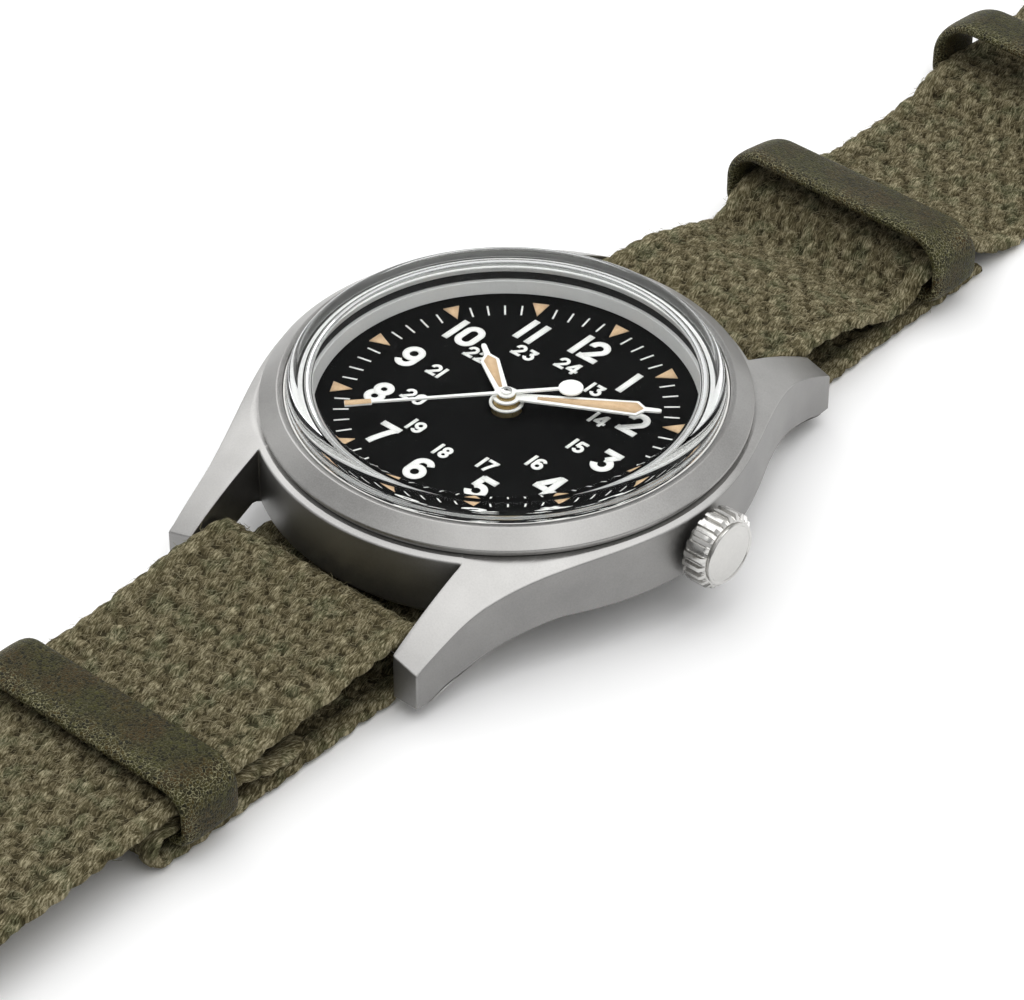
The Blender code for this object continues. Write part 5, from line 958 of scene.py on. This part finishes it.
def keeper_loop(name, node, corner, tilt):
    """A leather band closed round the strap: a pillow section, paler along its near edge and upper
    bends, which is wear and painted highlight.
    """
    low, high = (Vector(c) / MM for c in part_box(node))
    half, foot = KEEPER_HALF, KEEPER_FOOT
    mid_y, length = (low.y + high.y) / 2, (high.y - low.y) / 2
    wide, bottom, top = high.x - half, low.z + half, high.z - half
    path = arc((wide - corner, top - corner), corner, 0, 90, 14)
    path += arc((corner - wide, top - corner), corner, 90, 180, 14)
    path += arc((foot - wide, bottom + foot), foot, 180, 270, 10)
    path += arc((wide - foot, bottom + foot), foot, 270, 360, 10)
    line = []
    for (ax, az), (bx, bz) in zip(path, path[1:] + path[:1]):
        count = max(1, round(hypot(bx - ax, bz - az) / KEEPER_STEP))
        line += [(ax + (bx - ax) * i / count, az + (bz - az) * i / count) for i in range(count)]
    line = np.array(line)
    ahead = np.roll(line, -1, 0) - np.roll(line, 1, 0)
    ahead /= np.linalg.norm(ahead, axis=1)[:, None]
    out = np.c_[ahead[:, 1], -ahead[:, 0]]
    around = [2 * pi * i / SECTION_STEPS for i in range(SECTION_STEPS)]
    section = [(length * abs(cos(a)) ** 0.6 * np.sign(cos(a)),
                half * abs(sin(a)) ** 0.7 * np.sign(sin(a))) for a in around]
    rings = []
    for (x, z), (nx, nz) in zip(line, out):
        lean = tilt * (z - bottom) / (top - bottom)
        rings.append([(x + nx * t, mid_y + s, z + nz * t - lean * s) for s, t in section])
    bm = loft(bmesh.new(), rings + rings[:1])
    band = piece(name, bm, LEATHER, "case", [node], weighted=False)
    place = np.array([v.co for v in band.data.vertices]) / MM
    # The wear-and-highlight mask rises towards the near edge and into the upper bends: wear, with
    # painted highlight along the near edge.
    near = 0.8 * ((mid_y - place[:, 1]) / length - 0.1) / 0.7
    aside = np.minimum(np.abs(place[:, 0]) - wide + corner, place[:, 2] - top + corner) / corner
    worn_and_highlit = np.clip(np.maximum(near, 1.2 * aside), 0.22, 0.9).astype(np.float32)
    band.data.attributes.new("wear_and_highlight", "FLOAT", "POINT").data.foreach_set("value", worn_and_highlit)


def dress_cad_nodes():
    """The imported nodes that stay: merged, smooth within their sharp edges, each in its own finish."""
    slots = {part["node"]: part["material_slot"] for part in frame["record"]["subparts"]}
    for name, node in frame["nodes"].items():
        node.data.materials.clear()
        node.data.materials.append(FINISHES[slots[name]])
        if not node.hide_render:
            node.data.polygons.foreach_set("use_smooth", [True] * len(node.data.polygons))
            node.modifiers.new("merge", "WELD").merge_threshold = 1e-6
            node.modifiers.new("sharp_edges", "EDGE_SPLIT").split_angle = radians(30)


# Table, light and camera

def build_studio():
    """A white table under two softboxes, in a room that the metal mirrors: pale overhead and beyond."""
    scene = bpy.context.scene
    scene.view_settings.view_transform = "Standard"
    camera = put("camera", bpy.data.cameras.new("camera"))
    camera.data.lens, camera.data.sensor_width, camera.data.sensor_fit = 156.26, 36, "HORIZONTAL"
    camera.data.clip_start = 0.01
    eye, target = Vector((174.027, -196.532, 209.438)) * MM, Vector((6.268, -6.481, 7.0)) * MM
    camera.location = eye
    camera.rotation_euler = (target - eye).to_track_quat("-Z", "Y").to_euler()
    scene.camera = camera

    bm = bmesh.new()
    bmesh.ops.create_grid(bm, x_segments=8, y_segments=8, size=3)
    mesh = as_mesh(bm, "table")
    table, tree, shader = finish_named("white_paper_table", Roughness=0.9, Specular_IOR_Level=0.1)
    place = add(tree, "TexCoord", out="Object")
    tooth = add(tree, "TexNoise", {"Vector": place, "Scale": per(40), "Detail": 2.0})
    grey, white = linear("#f8f8f8"), linear("#fdfdfd")
    paper = add(tree, "Mix", {0: tooth, 6: grey, 7: white}, **COLOUR)
    feed(tree, shader, Base_Color=paper)
    mesh.materials.append(table)
    put("table", mesh)

    for name, spot, size, power in (
        ("key_softbox", (-0.85, 0.15, 0.7), (0.8, 0.8), 3.2),
        ("overhead_softbox", (0.1, 0.05, 0.8), (1.1, 1.1), 5.2),
    ):
        lamp = bpy.data.lights.new(name, "AREA")
        lamp.shape, lamp.size, lamp.size_y, lamp.energy = "RECTANGLE", *size, power
        light = put(name, lamp)
        light.location = spot
        light.rotation_euler = (-Vector(spot)).to_track_quat("-Z", "Y").to_euler()

    world = bpy.data.worlds.new("studio_room")
    world.use_nodes = True
    scene.world = world
    tree = world.node_tree
    behind, beyond, overhead, black = ((level, level, level, 1) for level in (0.1, 1.1, 0.68, 0.03))
    to_card = (-0.516, 0.584, 0.626)
    way = add(tree, "TexCoord", out="Generated")
    height = add(tree, "SeparateXYZ", {0: way}, out=2)
    share = add(tree, "MapRange", {0: height, 1: 0.1, 2: 0.6})
    depth = add(tree, "VectorMath", {0: way, 1: (0.0, 1.0, 0)}, operation="DOT_PRODUCT", out="Value")
    far = add(tree, "MapRange", {0: depth, 1: -0.45, 2: 0.75})
    wall = add(tree, "Mix", {0: far, 6: behind, 7: beyond}, **COLOUR)
    room = add(tree, "Mix", {0: share, 6: wall, 7: overhead}, **COLOUR)
    # A black card where the crystal's top would mirror the room keeps the dial dark.
    facing = add(tree, "VectorMath", {0: way, 1: to_card}, operation="DOT_PRODUCT", out="Value")
    card = add(tree, "MapRange", {0: facing, 1: 0.982, 2: 0.993})
    room = add(tree, "Mix", {0: card, 6: room, 7: black}, **COLOUR)
    tree.links.new(room, tree.nodes["Background"].inputs["Color"])


build_studio()
build_case()
build_bezel_and_crystal()
build_dial_print()
build_hands()
build_crown()
build_straps()
for number, (corner, tilt) in enumerate(KEEPERS, start=1):
    keeper_loop(f"keeper_band_{number}", f"keeper_{number}", corner, tilt)
dress_cad_nodes()
